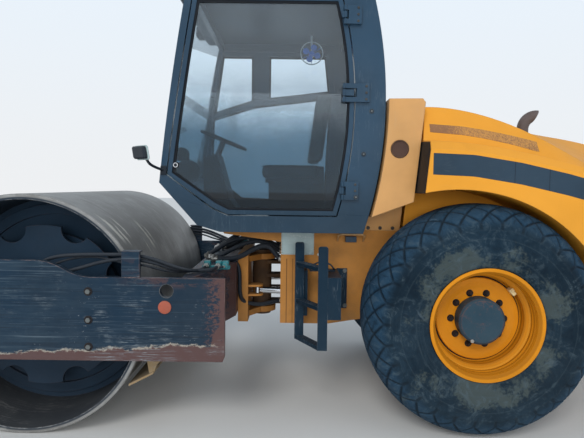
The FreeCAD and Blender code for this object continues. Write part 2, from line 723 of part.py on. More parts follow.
# Hood: sections along the machine, one row each, then the engine bay and wheel arches cut out

hood_front_x = -570.0
hood_rear_x = -half_length + 15.0
hood_sections = [
    # share of the length, crest z, shoulder y, shoulder z, panel foot y, panel foot z, flare y, flare z
    (0.000, 2152, 750, 2116, 852, 1890, 1086, 1874),
    (0.145, 2142, 750, 2106, 852, 1880, 1088, 1862),
    (0.272, 2114, 750, 2031, 856, 1838, 1090, 1817),
    (0.399, 2072, 752, 1906, 860, 1776, 1090, 1753),
    (0.513, 2022, 758, 1767, 856, 1706, 1084, 1684),
    (0.684, 1952, 735, 1590, 838, 1562, 1056, 1536),
    (0.846, 1846, 690, 1452, 790, 1404, 990, 1372),
    (0.969, 1690, 630, 1334, 728, 1276, 905, 1238),
    (1.000, 1596, 596, 1280, 690, 1216, 862, 1178),
]


def hood_wire(row, inset, low_z):
    """Section of the hood, drawn in by the inset, down to the given height."""
    share, crest, sy, sz, fy, fz, ey, ez = row
    x = hood_front_x + share * (hood_rear_x - hood_front_x)
    i = inset
    half = [(sy - i, sz - i), (fy - i, fz - i), (ey - 45 - i, ez - i), (ey - i, ez - 50 - i), (ey - i, low_z)]
    ring = [(0, crest - i)] + half + [(-a, b) for a, b in reversed(half)]
    pts = [V(x, a, b) for a, b in ring]
    return Part.makePolygon(pts + [pts[0]])


def make_hood():
    """Thin hood over the engine, with boxed sides whose wheel arches have a liner."""
    w = hood_wall
    low = hood_bottom_z
    outer = Part.makeLoft([hood_wire(r, 0, low) for r in hood_sections], True, False)
    before, last = hood_sections[-2], hood_sections[-1]
    wall_share = w / (hood_front_x - hood_rear_x)
    part_way = 1 - wall_share / (last[0] - before[0])
    rear = tuple(a + (b - a) * part_way for a, b in zip(before, last))
    rows = [(-0.002,) + hood_sections[0][1:]] + hood_sections[1:-1] + [rear]
    inner = Part.makeLoft([hood_wire(r, w, low - 5) for r in rows], True, False)
    ahead = prism_xz([(seam_x(low - 50), low - 50), (seam_x(2300), 2300), (0, 2300), (0, low - 50)], -1300, 1300)
    outer = outer.cut(ahead)
    skin = outer.cut(inner)
    walls = []
    for side in (-1, 1):
        a, b = sorted((side * bay_half, side * arch_inner_y))
        walls.append(box(hood_rear_x - 10, -400, a, b, low, 2300).common(outer))
        a, b = sorted((side * bay_half, side * 1200))
        ring = cyl_y(arch_x, arch_z, arch_r + w, a, b).cut(cyl_y(arch_x, arch_z, arch_r, a - 1, b + 1))
        walls.append(ring.common(outer))
        walls.append(prism_xz([(seam_x(low) - w, low), (seam_x(2300) - w, 2300), (-400, 2300), (-400, low)], a, b)
                     .common(outer))
    shell = joined(skin, *walls)
    for side in (-1, 1):
        a, b = sorted((side * arch_inner_y, side * 1300))
        shell = shell.cut(cyl_y(arch_x, arch_z, arch_r, a, b))
    shell = shell.cut(box(hood_rear_x - 50, hood_rear_x + 150, -grille_half, grille_half, grille_low_z, grille_top_z))
    shell = shell.cut(cyl_z_axis(exhaust_x, exhaust_y, exhaust_r, 1900, 2300))
    # The ears stand in notches in the rear foot, which swings in under the hinge
    reach = hood_ear_half + ear_gap
    notch = box(hood_rear_x - 50, hood_rear_x + 80, hood_ear_y - reach, hood_ear_y + reach, low - 1,
                hood_hinge_z + hood_ear_r + ear_gap)
    shell = shell.cut(both_sides(notch))
    lugs = []
    for side in (-1, 1):
        a, b = sorted((side * (hood_ear_y + hood_ear_half + ear_gap), side * (bay_half + 1)))
        lug = box(hood_rear_x + 12, hood_rear_x + 88, a, b, low + 12, low + 90)
        lugs.append(lug.cut(cyl_y(hood_hinge_x, hood_hinge_z, hood_pin_r + running_gap, a - 1, b + 1)))
    shell = joined(shell, *lugs)
    for side in (-1, 1):
        a, b = sorted((side * (hood_ear_y + hood_ear_half + 2), side * 512))
        shell = shell.cut(cyl_y(hood_hinge_x, hood_hinge_z, hood_pin_r + running_gap, a, b))
    add("hood_shell", shell)
    x0, x1 = hood_rear_x, hood_rear_x + hood_wall
    rails = [box(x0 + 4, x1 - 2, -grille_half, grille_half, z, z + 12)
             for z in range(int(grille_low_z) + 30, int(grille_top_z) - 20, 44)]
    rails += [box(x0 + 2, x1 - 1, y - 8, y + 8, grille_low_z, grille_top_z) for y in (-133, 133)]
    frame = box(x0, x1, -grille_half, grille_half, grille_low_z, grille_top_z)
    frame = frame.cut(box(x0 - 9, x1 + 9, -grille_half + 22, grille_half - 22, grille_low_z + 18, grille_top_z - 18))
    add("rear_grille", joined(frame, *rails))


def make_exhaust():
    """Tail pipe that leans back from the hood and ends in a slanting cut."""
    x, y = exhaust_x, exhaust_y
    low, bend, end = V(x, y, 1980), V(x, y, 2100), V(x - 130, y, 2225)
    pipes = []
    for r in (exhaust_r, exhaust_r - 5):
        riser = Part.makeCylinder(r, 120, low)
        elbow = Part.makeSphere(r, bend).common(box(x - 99, x + 99, y - 99, y + 99, 2100, 2250))
        tail = Part.makeCylinder(r, (end - bend).Length, bend, end - bend)
        pipes.append(joined(riser, elbow, tail))
    pipe = pipes[0].cut(pipes[1])
    pipe = pipe.cut(prism_xz([(x - 300, 2100), (x - 300, 2400), (x, 2400), (x - 30, 2245), (x - 172, 2140)],
                             y - 99, y + 99))
    add("exhaust_tail", pipe)


# Engine bay: plain masses

def make_engine():
    x = frame_rear_x
    add("engine_block", box(x + 450, x + 1370, -290, 290, engine_deck_z - 20, 1560))
    add("radiator", box(x + 40, x + 160, -410, 410, engine_deck_z - 100, 1480))


def make_counterweight():
    z0, z1 = 600.0, 955.0
    x = frame_rear_x
    body = prism_xz([(x + 180, z0 + 60), (x + 140, z0 + 60), (x + 60, z0), (-half_length + 25, z0),
                     (-half_length, z0 + 25, -half_length + 8, z0 + 8), (-half_length, z1 - 20),
                     (-half_length + 20, z1, -half_length + 6, z1 - 6), (frame_rear_x, z1),
                     (x, z0 + 120), (x + 180, z0 + 120)], -weight_half, weight_half)
    body = body.cut(box(x, x + 200, -frame_half - 1, frame_half + 1, z0 + 59, z1 + 1))
    eye_z = 700.0
    pocket = box(-half_length - 1, -half_length + 120, -120, 120, z0 - 1, eye_z + 80)
    eye = box(-half_length, -half_length + 121, -70, 70, eye_z - 20, eye_z + 20)
    eye = eye.cut(cyl_z_axis(-half_length + 50, 0, 22, eye_z - 30, eye_z + 30))
    ears = []
    for side in (-1, 1):
        y = side * hood_ear_y
        y0, y1 = y - hood_ear_half, y + hood_ear_half
        ears.append(box(hood_hinge_x - hood_ear_r, hood_hinge_x + hood_ear_r, y0, y1, z1 - 1, hood_hinge_z))
        ears.append(cyl_y(hood_hinge_x, hood_hinge_z, hood_ear_r, y0, y1))
        ears.append(cyl_y(hood_hinge_x, hood_hinge_z, hood_pin_r, min(y, side * 510), max(y, side * 510)))
    add("counterweight", joined(body.cut(pocket), eye, *ears))
    lamp = box(hood_rear_x - 12, hood_rear_x, 600, 760, hood_bottom_z + 40, hood_bottom_z + 120)
    add("tail_lamps", both_sides(lamp))


# Ladder on the left, its bracket, mirrors, and the lamp guard

def rounded_post(x, y, z0, z1):
    """Flat upright of the ladder, with its top corners rounded."""
    w, t, r = step_post_half, step_post_t / 2, step_post_corner
    d = r * (1 - math.sqrt(0.5))
    return prism_xz([
        (x - w, z0), (x + w, z0), (x + w, z1 - r), (x + w - r, z1, x + w - d, z1 - d),
        (x - w + r, z1), (x - w, z1 - r, x - w + d, z1 - d),
    ], y - t, y + t)


def make_ladder():
    """Two posts and three treads; the near post stands further back than the far one."""
    far = (153.0, frame_half + 120)
    near = (3.0, frame_half + 400)
    z0, z1 = deck_z - 764, deck_z - 79
    w = step_post_half
    posts = [rounded_post(x, y, z0, z1) for x, y in (far, near)]
    treads = []
    for k in range(step_treads):
        z = z0 + k * step_rise
        treads.append(prism_xy([(far[0] - w, far[1]), (far[0] + w, far[1]), (near[0] + w, near[1]),
                                (near[0] - w, near[1])], z, z + step_tread_t))
    add("ladder", joined(*posts, *treads))
    # Each post hangs on a folded arm: the near one is bolted on, the far one is welded to the frame
    t, wall = step_post_t / 2, step_arm_wall
    low, high = z0 + 205, z0 + 483
    out, back, edge = near[1] + t, near[0] - w - step_arm_w, near[0] - w
    plate = box(back - 74, back + 1, frame_half, frame_half + 14, low - 8, high + 4)
    arm = box(back, edge, frame_half, out, low, high)
    arm = arm.cut(box(back + wall, edge - wall, frame_half + 14, out - wall, low - 1, high - wall))
    far_arm = prism_yz([(frame_half, low + 20), (frame_half, high), (far[1] - t, high), (far[1] - t, low - 44),
                        (far[1] - t - 30, low - 44)], far[0] - w - 26, far[0] + w - 6)
    add("ladder_bracket", Part.makeCompound([joined(plate, arm), far_arm]))


def make_mirrors():
    head = box(1160, 1186, 885, 1000, 1730, 1835)
    arm = rod_between((1066, cab_half + 10, 1680), (1174, 915, 1750), 11)
    foot = box(1046, 1084, cab_half, cab_half + 14, 1650, 1710)
    mirror = joined(head, arm, foot)
    add("mirrors", both_sides(mirror))


def make_guard():
    """Bent rod over the step lamp: two legs rise from the frame to a bar with cut corners."""
    y0, corner = frame_half, 20.0
    front, back = guard_x + guard_half, guard_x - guard_half
    out = y0 + guard_reach
    path = [(front, y0, guard_low_z), (front, out - corner, guard_top_z - 10), (front - corner, out, guard_top_z),
            (back + corner, out, guard_top_z), (back, out - corner, guard_top_z - 10), (back, y0, guard_low_z)]
    rods = [rod_between(a, b, guard_rod_r) for a, b in zip(path, path[1:])]
    knees = [Part.makeSphere(guard_rod_r, V(*p)) for p in path[1:-1]]
    lamp = box(guard_x - 39, guard_x + 39, y0, y0 + 50, guard_low_z - 5, guard_low_z + 35)
    # The legs' slanting ends are cut flush with the frame's side
    flush = box(back - 50, front + 50, y0 - 50, y0, guard_low_z - 50, guard_low_z + 50)
    add("lamp_guard", Part.makeCompound([joined(*rods, *knees).cut(flush), lamp]))


def hose_brackets():
    """Bridge over the side plate that holds the hoses to the drum motor."""
    y_in, y_out = half_width - side_plate_t + 6, half_width - 4
    x0 = front_rear_x + 519
    top = side_plate_top_z + 160
    upright = box(x0, x0 + 111, y_in, y_out, side_plate_top_z, top)
    shelf = box(x0, x0 + 111, y_in - 46, y_out, top - 8, top)
    bridge = joined(upright, shelf)
    return [bridge, mirrored(bridge)]


# Cab inside: seat, console with the steering wheel, and the small fan

def make_interior():
    z = cab_floor_z + cab_floor_t
    add("seat_base", joined(box(0, 400, -330, 200, z, z + 60), box(60, 340, -140, 140, z + 60, 1610),
                            box(-20, 420, -220, 220, 1610, 1640), box(-60, 420, -560, -330, z, 1760)))
    cushion = box(-10, 470, -235, 235, 1640.3, 1745)
    back = prism_xz([(-20, 1745.3), (95, 1745.3), (20, 2330), (-75, 2330)], -225, 225)
    add("seat_cushions", Part.makeCompound([cushion, back]))
    console = prism_xz([(600, z), (680, z), (820, 1395.3), (900, 1485.6), (905, 1800), (800, 1830), (700, 1480)],
                       -170, 170)
    column = rod_between((830, 0, 1790), (771, 0, 1942), 24)
    tilt = V(-55, 0, 140)
    rim = ring_about(V(0, 0, 0), tilt, 185, 14)
    hub = Part.makeCylinder(38, 30, V(0, 0, 0) - tilt.normalize() * 15, tilt)
    tilt = V(-55, 0, 140)
    side = tilt.cross(V(0, 1, 0))
    side.normalize()
    spokes = []
    for k in range(3):
        a = math.radians(120 * k + 90)
        d = V(0, 1, 0) * math.cos(a) + side * math.sin(a)
        spokes.append(Part.makeCylinder(9, 180, d * 5, d))
    wheel = joined(rim, hub, *spokes)
    wheel.translate(V(770, 0, 1946))
    add("steering_console", joined(console, column, wheel))


def make_fan():
    x, y, zc = 60.0, -400.0, 2740.0
    ring = ring_about(V(x, y, zc), V(0, 1, 0), 96, 5, 6)
    spokes = [rod_between((x, y - 22, zc), (x + 96 * math.cos(a), y, zc + 96 * math.sin(a)), 2.5)
              for a in (math.radians(30 + 60 * k) for k in range(6))]
    motor = cyl_y(x, zc, 26, y - 60, y - 14)
    stalk = rod_between((x, y - 45, zc + 10), (x, y - 45, cab_top_z), 9)
    blades = [cyl_y(x, zc, 18, y - 13.5, y + 12)]
    for k in range(4):
        a = math.radians(90 * k + 20)
        c = V(x + 52 * math.cos(a), y - 3, zc + 52 * math.sin(a))
        blade = Part.makeCylinder(27, 3, V(c.x, y - 5, c.z), V(0, 1, 0))
        blades.append(blade)
    for k in range(4):
        a = math.radians(90 * k + 20)
        blades.append(rod_between((x, y - 3.5, zc), (x + 40 * math.cos(a), y - 3.5, zc + 40 * math.sin(a)), 2.5))
    add("cab_fan", joined(ring, motor, stalk, *spokes, *blades))


def make_lamps():
    z0 = cab_top_z + 30
    front = [box(1040, 1092, y - 75, y + 75, z0 - 20, z0 + 60) for y in (-600, 600)]
    rear = [box(-407, -355, y - 70, y + 70, z0 - 20, z0 + 55) for y in (-600, 600)]
    add("work_lamps", Part.makeCompound(front + rear))


make_drum()
make_front_frame()
make_carriers()
make_scrapers()
make_yoke()
make_pivot()
make_steering_cylinders()
make_rear_frame()
make_axle()
make_wheels()
make_cab()
make_door()
make_tank_cover()
make_hood()
make_exhaust()
make_engine()
make_counterweight()
make_ladder()
make_mirrors()
make_guard()
make_interior()
make_fan()
make_lamps()

os.makedirs("parts", exist_ok=True)
for name, shape in parts.items():
    solids = shape.Solids
    whole = Part.makeCompound(solids) if len(solids) > 1 else solids[0]
    ok = all(s.isValid() and s.isClosed() for s in solids)
    print("%-22s solids %d volume %.1f l %s" % (name, len(solids), whole.Volume / 1e6, "" if ok else "NOT VALID"))
    whole.exportStep("parts/%s.step" % name)
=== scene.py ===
"""Looks of the single-drum road roller: finishes, treaded tyres, trim, hoses, seat and studio.

Metres, +X towards the drum, +Y to the machine's left, +Z up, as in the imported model.
"""
import bpy
import bmesh
import math
import numpy as np
from mathutils import Matrix, Vector
from mathutils.bvhtree import BVHTree


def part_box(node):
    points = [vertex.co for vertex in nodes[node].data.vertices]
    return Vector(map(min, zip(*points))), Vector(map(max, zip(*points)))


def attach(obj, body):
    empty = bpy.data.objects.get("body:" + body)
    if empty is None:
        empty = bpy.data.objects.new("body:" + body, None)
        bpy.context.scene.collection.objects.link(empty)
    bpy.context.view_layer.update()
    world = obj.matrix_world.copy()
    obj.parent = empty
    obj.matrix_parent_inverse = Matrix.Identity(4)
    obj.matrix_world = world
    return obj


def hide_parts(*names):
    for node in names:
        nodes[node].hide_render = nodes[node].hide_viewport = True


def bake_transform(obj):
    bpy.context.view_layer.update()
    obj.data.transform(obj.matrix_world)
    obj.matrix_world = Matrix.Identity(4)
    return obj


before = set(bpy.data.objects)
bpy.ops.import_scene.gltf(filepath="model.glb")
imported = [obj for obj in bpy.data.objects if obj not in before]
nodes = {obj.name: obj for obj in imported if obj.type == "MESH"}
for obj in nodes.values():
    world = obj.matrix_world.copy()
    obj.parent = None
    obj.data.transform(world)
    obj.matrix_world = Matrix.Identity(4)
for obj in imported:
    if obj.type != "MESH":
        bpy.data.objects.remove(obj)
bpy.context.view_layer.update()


# Colours, as linear values

CAB_BLUE = (0.016, 0.048, 0.088)
HOOD_ORANGE = (0.76, 0.330, 0.038)
RIM_ORANGE = (0.66, 0.245, 0.008)
TAN_ORANGE = (0.62, 0.330, 0.120)
FRAME_ORANGE = (0.52, 0.225, 0.050)
STRIPE_BLUE = (0.022, 0.044, 0.070)
PRIMER_BROWN = (0.098, 0.050, 0.046)
RUBBER_BLACK = (0.007, 0.021, 0.037)
IRON_BLACK = (0.022, 0.028, 0.034)
DUST_GREY = (0.30, 0.28, 0.25)
BARE_STEEL = (0.62, 0.62, 0.61)
TEAL = (0.010, 0.170, 0.200)

# Places that the finishes read

PLATE_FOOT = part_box("drum_frame")[0].z
FAN_CENTRE = (0.060, -0.4, 2.74)
DRUM_AXLE = (1.885, 0.0, 0.760)
GUARD_LAMP_X = -0.212
RIDGE_PITCH = 0.048
# y, width, lowest and highest z of the painted highlights along polished rings on the drum
DRUM_RING_HIGHLIGHTS = ((0.955, 0.022, 1.22, 1.38), (0.880, 0.012, 1.20, 1.33), (0.800, 0.016, 1.24, 1.36),
             (0.430, 0.020, 1.13, 1.31), (0.365, 0.009, 1.16, 1.28), (0.560, 0.008, 1.10, 1.20))
# x and strength of the upright folds in the rear frame
FRAME_FOLDS = ((0.2454, 0.75), (0.2020, 0.50))
STRIPE_JOINTS = (-1.146, -1.358)


def axle_of(name):
    """Middle of a node's box, moved to the machine's middle plane."""
    low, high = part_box(name)
    return (low.x + high.x) / 2, 0.0, (low.z + high.z) / 2


# Meshes worked out as grids of points

MERGE = 2e-6
ON_PLANE = 4e-4
FILM_PROUD, FILM_SUNK, FILM_ROWS = 0.0012, 0.002, 5


def grid_faces(rows, cols, close_rows=False, close_cols=False):
    """Quads between neighbouring points of a rows by cols grid, joined at the ends where asked."""
    r = np.arange(rows if close_rows else rows - 1)
    c = np.arange(cols if close_cols else cols - 1)
    a, b = np.meshgrid(r, c, indexing="ij")
    a1, b1 = (a + 1) % rows, (b + 1) % cols
    return np.stack([a * cols + b, a1 * cols + b, a1 * cols + b1, a * cols + b1], -1).reshape(-1, 4)


def in_scene(name, data):
    """New object of the data, linked to the scene."""
    obj = bpy.data.objects.new(name, data)
    bpy.context.scene.collection.objects.link(obj)
    return obj


def closed_mesh(name, points, faces, merge):
    """Mesh with double points merged and all faces looking outwards."""
    mesh = bpy.data.meshes.new(name)
    mesh.from_pydata(points.tolist(), [], faces.tolist())
    bm = bmesh.new()
    bm.from_mesh(mesh)
    bmesh.ops.remove_doubles(bm, verts=bm.verts, dist=merge)
    bmesh.ops.recalc_face_normals(bm, faces=bm.faces)
    bm.to_mesh(mesh)
    bm.free()
    return mesh


def piece(name, grids, material, body, sharp=35.0, replaces=()):
    """One mesh from grids, each (points, rows joined, columns joined); poles and seams are merged."""
    verts, faces, start = [], [], 0
    for points, close_rows, close_cols in grids:
        rows, cols = points.shape[:2]
        verts.append(points.reshape(-1, 3))
        faces.append(grid_faces(rows, cols, close_rows, close_cols) + start)
        start += rows * cols
    mesh = closed_mesh(name, np.concatenate(verts), np.concatenate(faces), MERGE)
    mesh.polygons.foreach_set("use_smooth", [True] * len(mesh.polygons))
    mesh.set_sharp_from_angle(angle=math.radians(sharp))
    mesh.materials.append(material)
    obj = in_scene(name, mesh)
    if replaces:
        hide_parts(*replaces)
    if body:
        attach(obj, body)
    return obj


def pair(name, grids, material, body, sharp=35.0):
    """The left piece and its mirror image on the right; what is on a wheel rides that side's wheel."""
    made = []
    for label, shown in (("_left", grids), ("_right", mirrored_grids(grids))):
        rides = "wheel" + label if body == "wheel" else body
        made.append(piece(name + label, shown, material, rides, sharp))
    return made


def placed(local, origin, u, v, w):
    """Local (a, b, c) points laid along the three directions from the origin."""
    a, b, c = local[..., 0:1], local[..., 1:2], local[..., 2:3]
    u, v, w = (np.asarray(direction, float) for direction in (u, v, w))
    return np.asarray(origin, float) + a * u + b * v + c * w


X, Y, Z = np.eye(3)


def basis(axis):
    """Two directions square to the axis."""
    axis = np.asarray(axis, float)
    axis = axis / np.linalg.norm(axis)
    side = np.cross(axis, Z if abs(axis[2]) < 0.9 else X)
    side = side / np.linalg.norm(side)
    return side, np.cross(axis, side), axis


def turned(profile, centre, axis=Y, segments=64, closed=False):
    """Profile of (radius, height) rows carried round the axis: r cos t, r sin t, h."""
    profile = np.asarray(profile, float)
    t = np.linspace(0, 2 * np.pi, segments, endpoint=False)
    u, v, w = basis(axis)
    r, h = profile[:, 0][:, None], profile[:, 1][:, None]
    local = np.stack([r * np.cos(t), r * np.sin(t), h + 0 * t], -1)
    return placed(local, centre, u, v, w), closed, True


def button(centre, radius, low, high, ease=(0.002, 0.002), axis=Y, segments=24):
    """Round button along the axis, its top rim eased inwards and downwards."""
    return turned([(0, low), (radius, low), (radius, high - ease[1]), (radius - ease[0], high), (0, high)],
                  centre, axis, segments)


def drawn_in(outline, inset):
    """Closed outline moved inwards along the bisector at each point."""
    before, after = np.roll(outline, 1, 0), np.roll(outline, -1, 0)
    e1, e2 = outline - before, after - outline
    n1 = np.stack([-e1[:, 1], e1[:, 0]], -1) / np.linalg.norm(e1, axis=1)[:, None]
    n2 = np.stack([-e2[:, 1], e2[:, 0]], -1) / np.linalg.norm(e2, axis=1)[:, None]
    n = n1 + n2
    n = n / np.maximum(np.linalg.norm(n, axis=1)[:, None], 1e-9)
    n = n / np.maximum((n * n1).sum(1)[:, None], 0.35)
    area = 0.5 * np.sum(outline[:, 0] * after[:, 1] - after[:, 0] * outline[:, 1])
    return outline + (inset if area > 0 else -inset) * n


def slab(outline, low, high, ease, origin, u, v, w, both=True):
    """Plate of the outline from low to high, its edges eased; each cap is a fan to the middle."""
    outline = np.asarray(outline, float)
    middle = np.repeat(outline.mean(0)[None], len(outline), 0)
    small = drawn_in(outline, ease)
    rows = [(middle, low), (small, low), (outline, low + ease), (outline, high - ease), (small, high),
            (middle, high)]
    if not both:
        rows = [(middle, low), (outline, low)] + rows[3:]
    local = np.stack([np.concatenate([p, np.full((len(p), 1), h)], 1) for p, h in rows])
    return placed(local, origin, u, v, w), False, True


def round_rect(width, height, radius, steps=5):
    """Outline of a rectangle about the middle with rounded corners."""
    a = np.linspace(0, np.pi / 2, steps)
    arc = radius * np.stack([np.cos(a), np.sin(a)], -1)
    back = arc[:, ::-1]
    x, y = width / 2 - radius, height / 2 - radius
    return np.concatenate([arc + (x, y), back * (-1, 1) + (-x, y), -arc + (-x, -y), back * (1, -1) + (x, -y)])


def hexagon(centre, axis, radius, low, high, ease, both=True):
    """Nut or bolt head: six points r cos t, r sin t made a plate along the axis."""
    t = np.linspace(0, 2 * np.pi, 6, endpoint=False)
    u, v, w = basis(axis)
    return slab(radius * np.stack([np.cos(t), np.sin(t)], -1), low, high, ease, centre, u, v, w, both)


def block(low, high, radius, ease=0.003):
    """Upright block between two corners, rounded seen from above."""
    low, high = np.asarray(low, float), np.asarray(high, float)
    size, mid = high - low, (low + high) / 2
    shape = round_rect(size[0], size[1], min(radius, 0.49 * min(size[0], size[1])))
    return slab(shape, low[2], high[2], ease, (mid[0], mid[1], 0), X, Y, Z)


def smooth_path(points, per_run=8):
    """Points along a curve that passes evenly by each control point (quadratic B-spline)."""
    p = np.asarray(points, float)
    mids = (p[:-1] + p[1:]) / 2
    t = np.linspace(0, 1, per_run, endpoint=False)[:, None]
    out = [p[:1]]
    for i in range(len(mids) - 1):
        a, b, c = mids[i], p[i + 1], mids[i + 1]
        out.append((1 - t) ** 2 * a + 2 * t * (1 - t) * b + t ** 2 * c)
    out.append(mids[-1:])
    out.append(p[-1:])
    return np.concatenate(out)


def tube(path, radius, sides=10, capped=True):
    """Circle carried along the path; its frame turns as little as it can from point to point."""
    path = np.asarray(path, float)
    tangent = np.gradient(path, axis=0)
    tangent = tangent / np.linalg.norm(tangent, axis=1)[:, None]
    normal = basis(tangent[0])[0]
    rows = []
    t = np.linspace(0, 2 * np.pi, sides, endpoint=False)
    for point, along in zip(path, tangent):
        normal = normal - along * normal.dot(along)
        normal = normal / np.linalg.norm(normal)
        other = np.cross(along, normal)
        rows.append(point + radius * (np.cos(t)[:, None] * normal + np.sin(t)[:, None] * other))
    if capped:
        rows = [np.repeat(path[:1], sides, 0)] + rows + [np.repeat(path[-1:], sides, 0)]
    return np.stack(rows), False, True


def hex_bolt(centre, axis, across, height):
    """Hexagon head with a chamfered top, on a washer."""
    return [hexagon(centre, axis, across / 1.732, 0.002, height, 0.0012, both=False),
            button(centre, across * 0.78, -0.002, 0.0028, (0.001, 0.001), axis, 16)]


def cap_screw(centre, axis, radius, height):
    """Round head with an eased rim and a socket."""
    profile = [(0, -0.002), (radius, -0.002), (radius, height - 0.002), (radius - 0.002, height),
               (radius * 0.5, height), (radius * 0.5, height - 0.004), (0, height - 0.004)]
    return turned(profile, centre, axis, 16)


def mirrored_grids(grids):
    """The same grids on the other side, with y turned to -y."""
    return [(g[0] * (1, -1, 1), g[1], g[2]) for g in grids]


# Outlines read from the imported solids

def mesh_points(obj):
    """An object's points as rows of x, y and z."""
    co = np.zeros(len(obj.data.vertices) * 3)
    obj.data.vertices.foreach_get("co", co)
    return co.reshape(-1, 3)


def strip(outline, outer, inner, y0, y1):
    """Rubber strip that follows a closed outline in the XZ plane, from y0 to y1."""
    a, b = drawn_in(outline, -outer), drawn_in(outline, inner)
    ease = min(abs(y1 - y0) * 0.3, 0.003)
    rows = [(a, y0), (a, y1 - math.copysign(ease, y1 - y0)), (drawn_in(outline, -outer + ease), y1),
            (drawn_in(outline, inner - ease), y1), (b, y1 - math.copysign(ease, y1 - y0)), (b, y0)]
    grid = np.stack([np.stack([p[:, 0], np.full(len(p), y), p[:, 1]], -1) for p, y in rows])
    return grid, True, True


surfaces = {}


def surface_tree(name):
    """Search tree over a node's faces, built once."""
    if name not in surfaces:
        mesh = nodes[name].data
        faces = [face.vertices for face in mesh.polygons]
        surfaces[name] = BVHTree.FromPolygons([v.co for v in mesh.vertices], faces)
    return surfaces[name]


def on_side(name, x, z, side):
    """The y at which a node's outer side meets the level line through (x, z)."""
    hit = surface_tree(name).ray_cast(Vector((x, side * 3.0, z)), Vector((0, -side, 0)))
    return None if hit[0] is None else hit[0].y


def film(node, xs, low_z, high_z, side):
    """Thin closed skin on a node's side between two lines over x: surface, lifted by its thickness."""
    share = np.linspace(0, 1, FILM_ROWS)
    grid = np.zeros((len(xs), FILM_ROWS, 3))
    for i, x in enumerate(xs):
        for j, s in enumerate(share):
            z = low_z[i] + s * (high_z[i] - low_z[i])
            grid[i, j] = (x, on_side(node, x, z, side), z)
    top = grid + (0, side * FILM_PROUD, 0)
    under = grid[:, ::-1] - (0, side * FILM_SUNK, 0)
    loop = np.concatenate([top, under], 1)
    middle = loop.mean(1, keepdims=True).repeat(loop.shape[1], 1)
    return np.concatenate([middle[:1], loop, middle[-1:]]), False, True


# Node trees

def rgba(colour):
    return tuple(colour) + (1.0,)


class Graph:
    """Adds shader nodes to a tree, with values or sockets as their inputs."""

    def __init__(self, tree):
        self.tree = tree

    def feed(self, node, inputs):
        """Gives a node its inputs: sockets by links, values as constants."""
        for key, value in inputs.items():
            if isinstance(value, bpy.types.NodeSocket):
                self.tree.links.new(value, node.inputs[key])
            else:
                node.inputs[key].default_value = value

    def add(self, kind, inputs=None, **settings):
        made = self.tree.nodes.new("ShaderNode" + kind)
        for key, value in settings.items():
            setattr(made, key, value)
        self.feed(made, inputs or {})
        return made

    def use(self, tree, inputs):
        """What a node group gives for these inputs."""
        return self.add("Group", inputs, node_tree=tree).outputs

    def math(self, operation, a, b=0.0, clamp=False):
        return self.add("Math", {0: a, 1: b}, operation=operation, use_clamp=clamp).outputs[0]

    def times(self, a, b, clamp=False):
        return self.math("MULTIPLY", a, b, clamp)

    def plus(self, a, b, clamp=False):
        return self.math("ADD", a, b, clamp)

    def minus(self, a, b):
        return self.math("SUBTRACT", a, b)

    def most(self, a, b):
        return self.math("MAXIMUM", a, b)

    def apart(self, a, b):
        """How far two values are from each other."""
        return self.math("ABSOLUTE", self.minus(a, b))

    def vector(self, operation, a, b=(0.0, 0.0, 0.0), output="Vector"):
        return self.add("VectorMath", {0: a, 1: b}, operation=operation).outputs[output]

    def parts(self, vector):
        """A vector's x, y and z."""
        return tuple(self.add("SeparateXYZ", {0: vector}).outputs)

    def off_axle(self, coords, centre):
        """Offset from a centre, and the distance from the line along Y through it."""
        away = self.vector("SUBTRACT", coords, centre)
        return away, self.vector("LENGTH", self.vector("MULTIPLY", away, (1.0, 0.0, 1.0)), output="Value")

    def span(self, value, low, high, to_low=0.0, to_high=1.0):
        """The value's place between low and high, smoothed and held at the ends."""
        return self.add("MapRange", {"Value": value, "From Min": low, "From Max": high, "To Min": to_low,
                                     "To Max": to_high}, interpolation_type="SMOOTHSTEP").outputs["Result"]

    def mix(self, share, a, b):
        return self.add("Mix", {0: share, 6: a, 7: b}, data_type="RGBA").outputs[2]

    def toned(self, shade, colour, share, most=1.0):
        """The shade with a colour laid over it, share times most strong."""
        return self.mix(self.times(share, most), shade, rgba(colour))

    def noise(self, coords, scale, detail=4.0, roughness=0.55, distortion=0.0):
        return self.add("TexNoise", {"Vector": coords, "Scale": scale, "Detail": detail,
                                     "Roughness": roughness, "Distortion": distortion}).outputs["Fac"]

    def drawn(self, coords, stretch, detail, roughness, distortion=0.0, shift=(0, 0, 0)):
        """Noise with a scale of its own along each axis."""
        laid = self.add("Mapping", {"Vector": coords, "Location": shift, "Scale": stretch}).outputs[0]
        return self.noise(laid, 1.0, detail, roughness, distortion)


def group(name, inputs, outputs):
    """Empty node group with named sockets: its graph, what it is given and the node for its results."""
    tree = bpy.data.node_groups.new(name, "ShaderNodeTree")
    for label, kind, value in inputs:
        socket = tree.interface.new_socket(name=label, in_out="INPUT", socket_type="NodeSocket" + kind)
        if value is not None:
            socket.default_value = value
    for label, kind in outputs:
        tree.interface.new_socket(name=label, in_out="OUTPUT", socket_type="NodeSocket" + kind)
    given, results = tree.nodes.new("NodeGroupInput"), tree.nodes.new("NodeGroupOutput")
    return Graph(tree), given.outputs, results


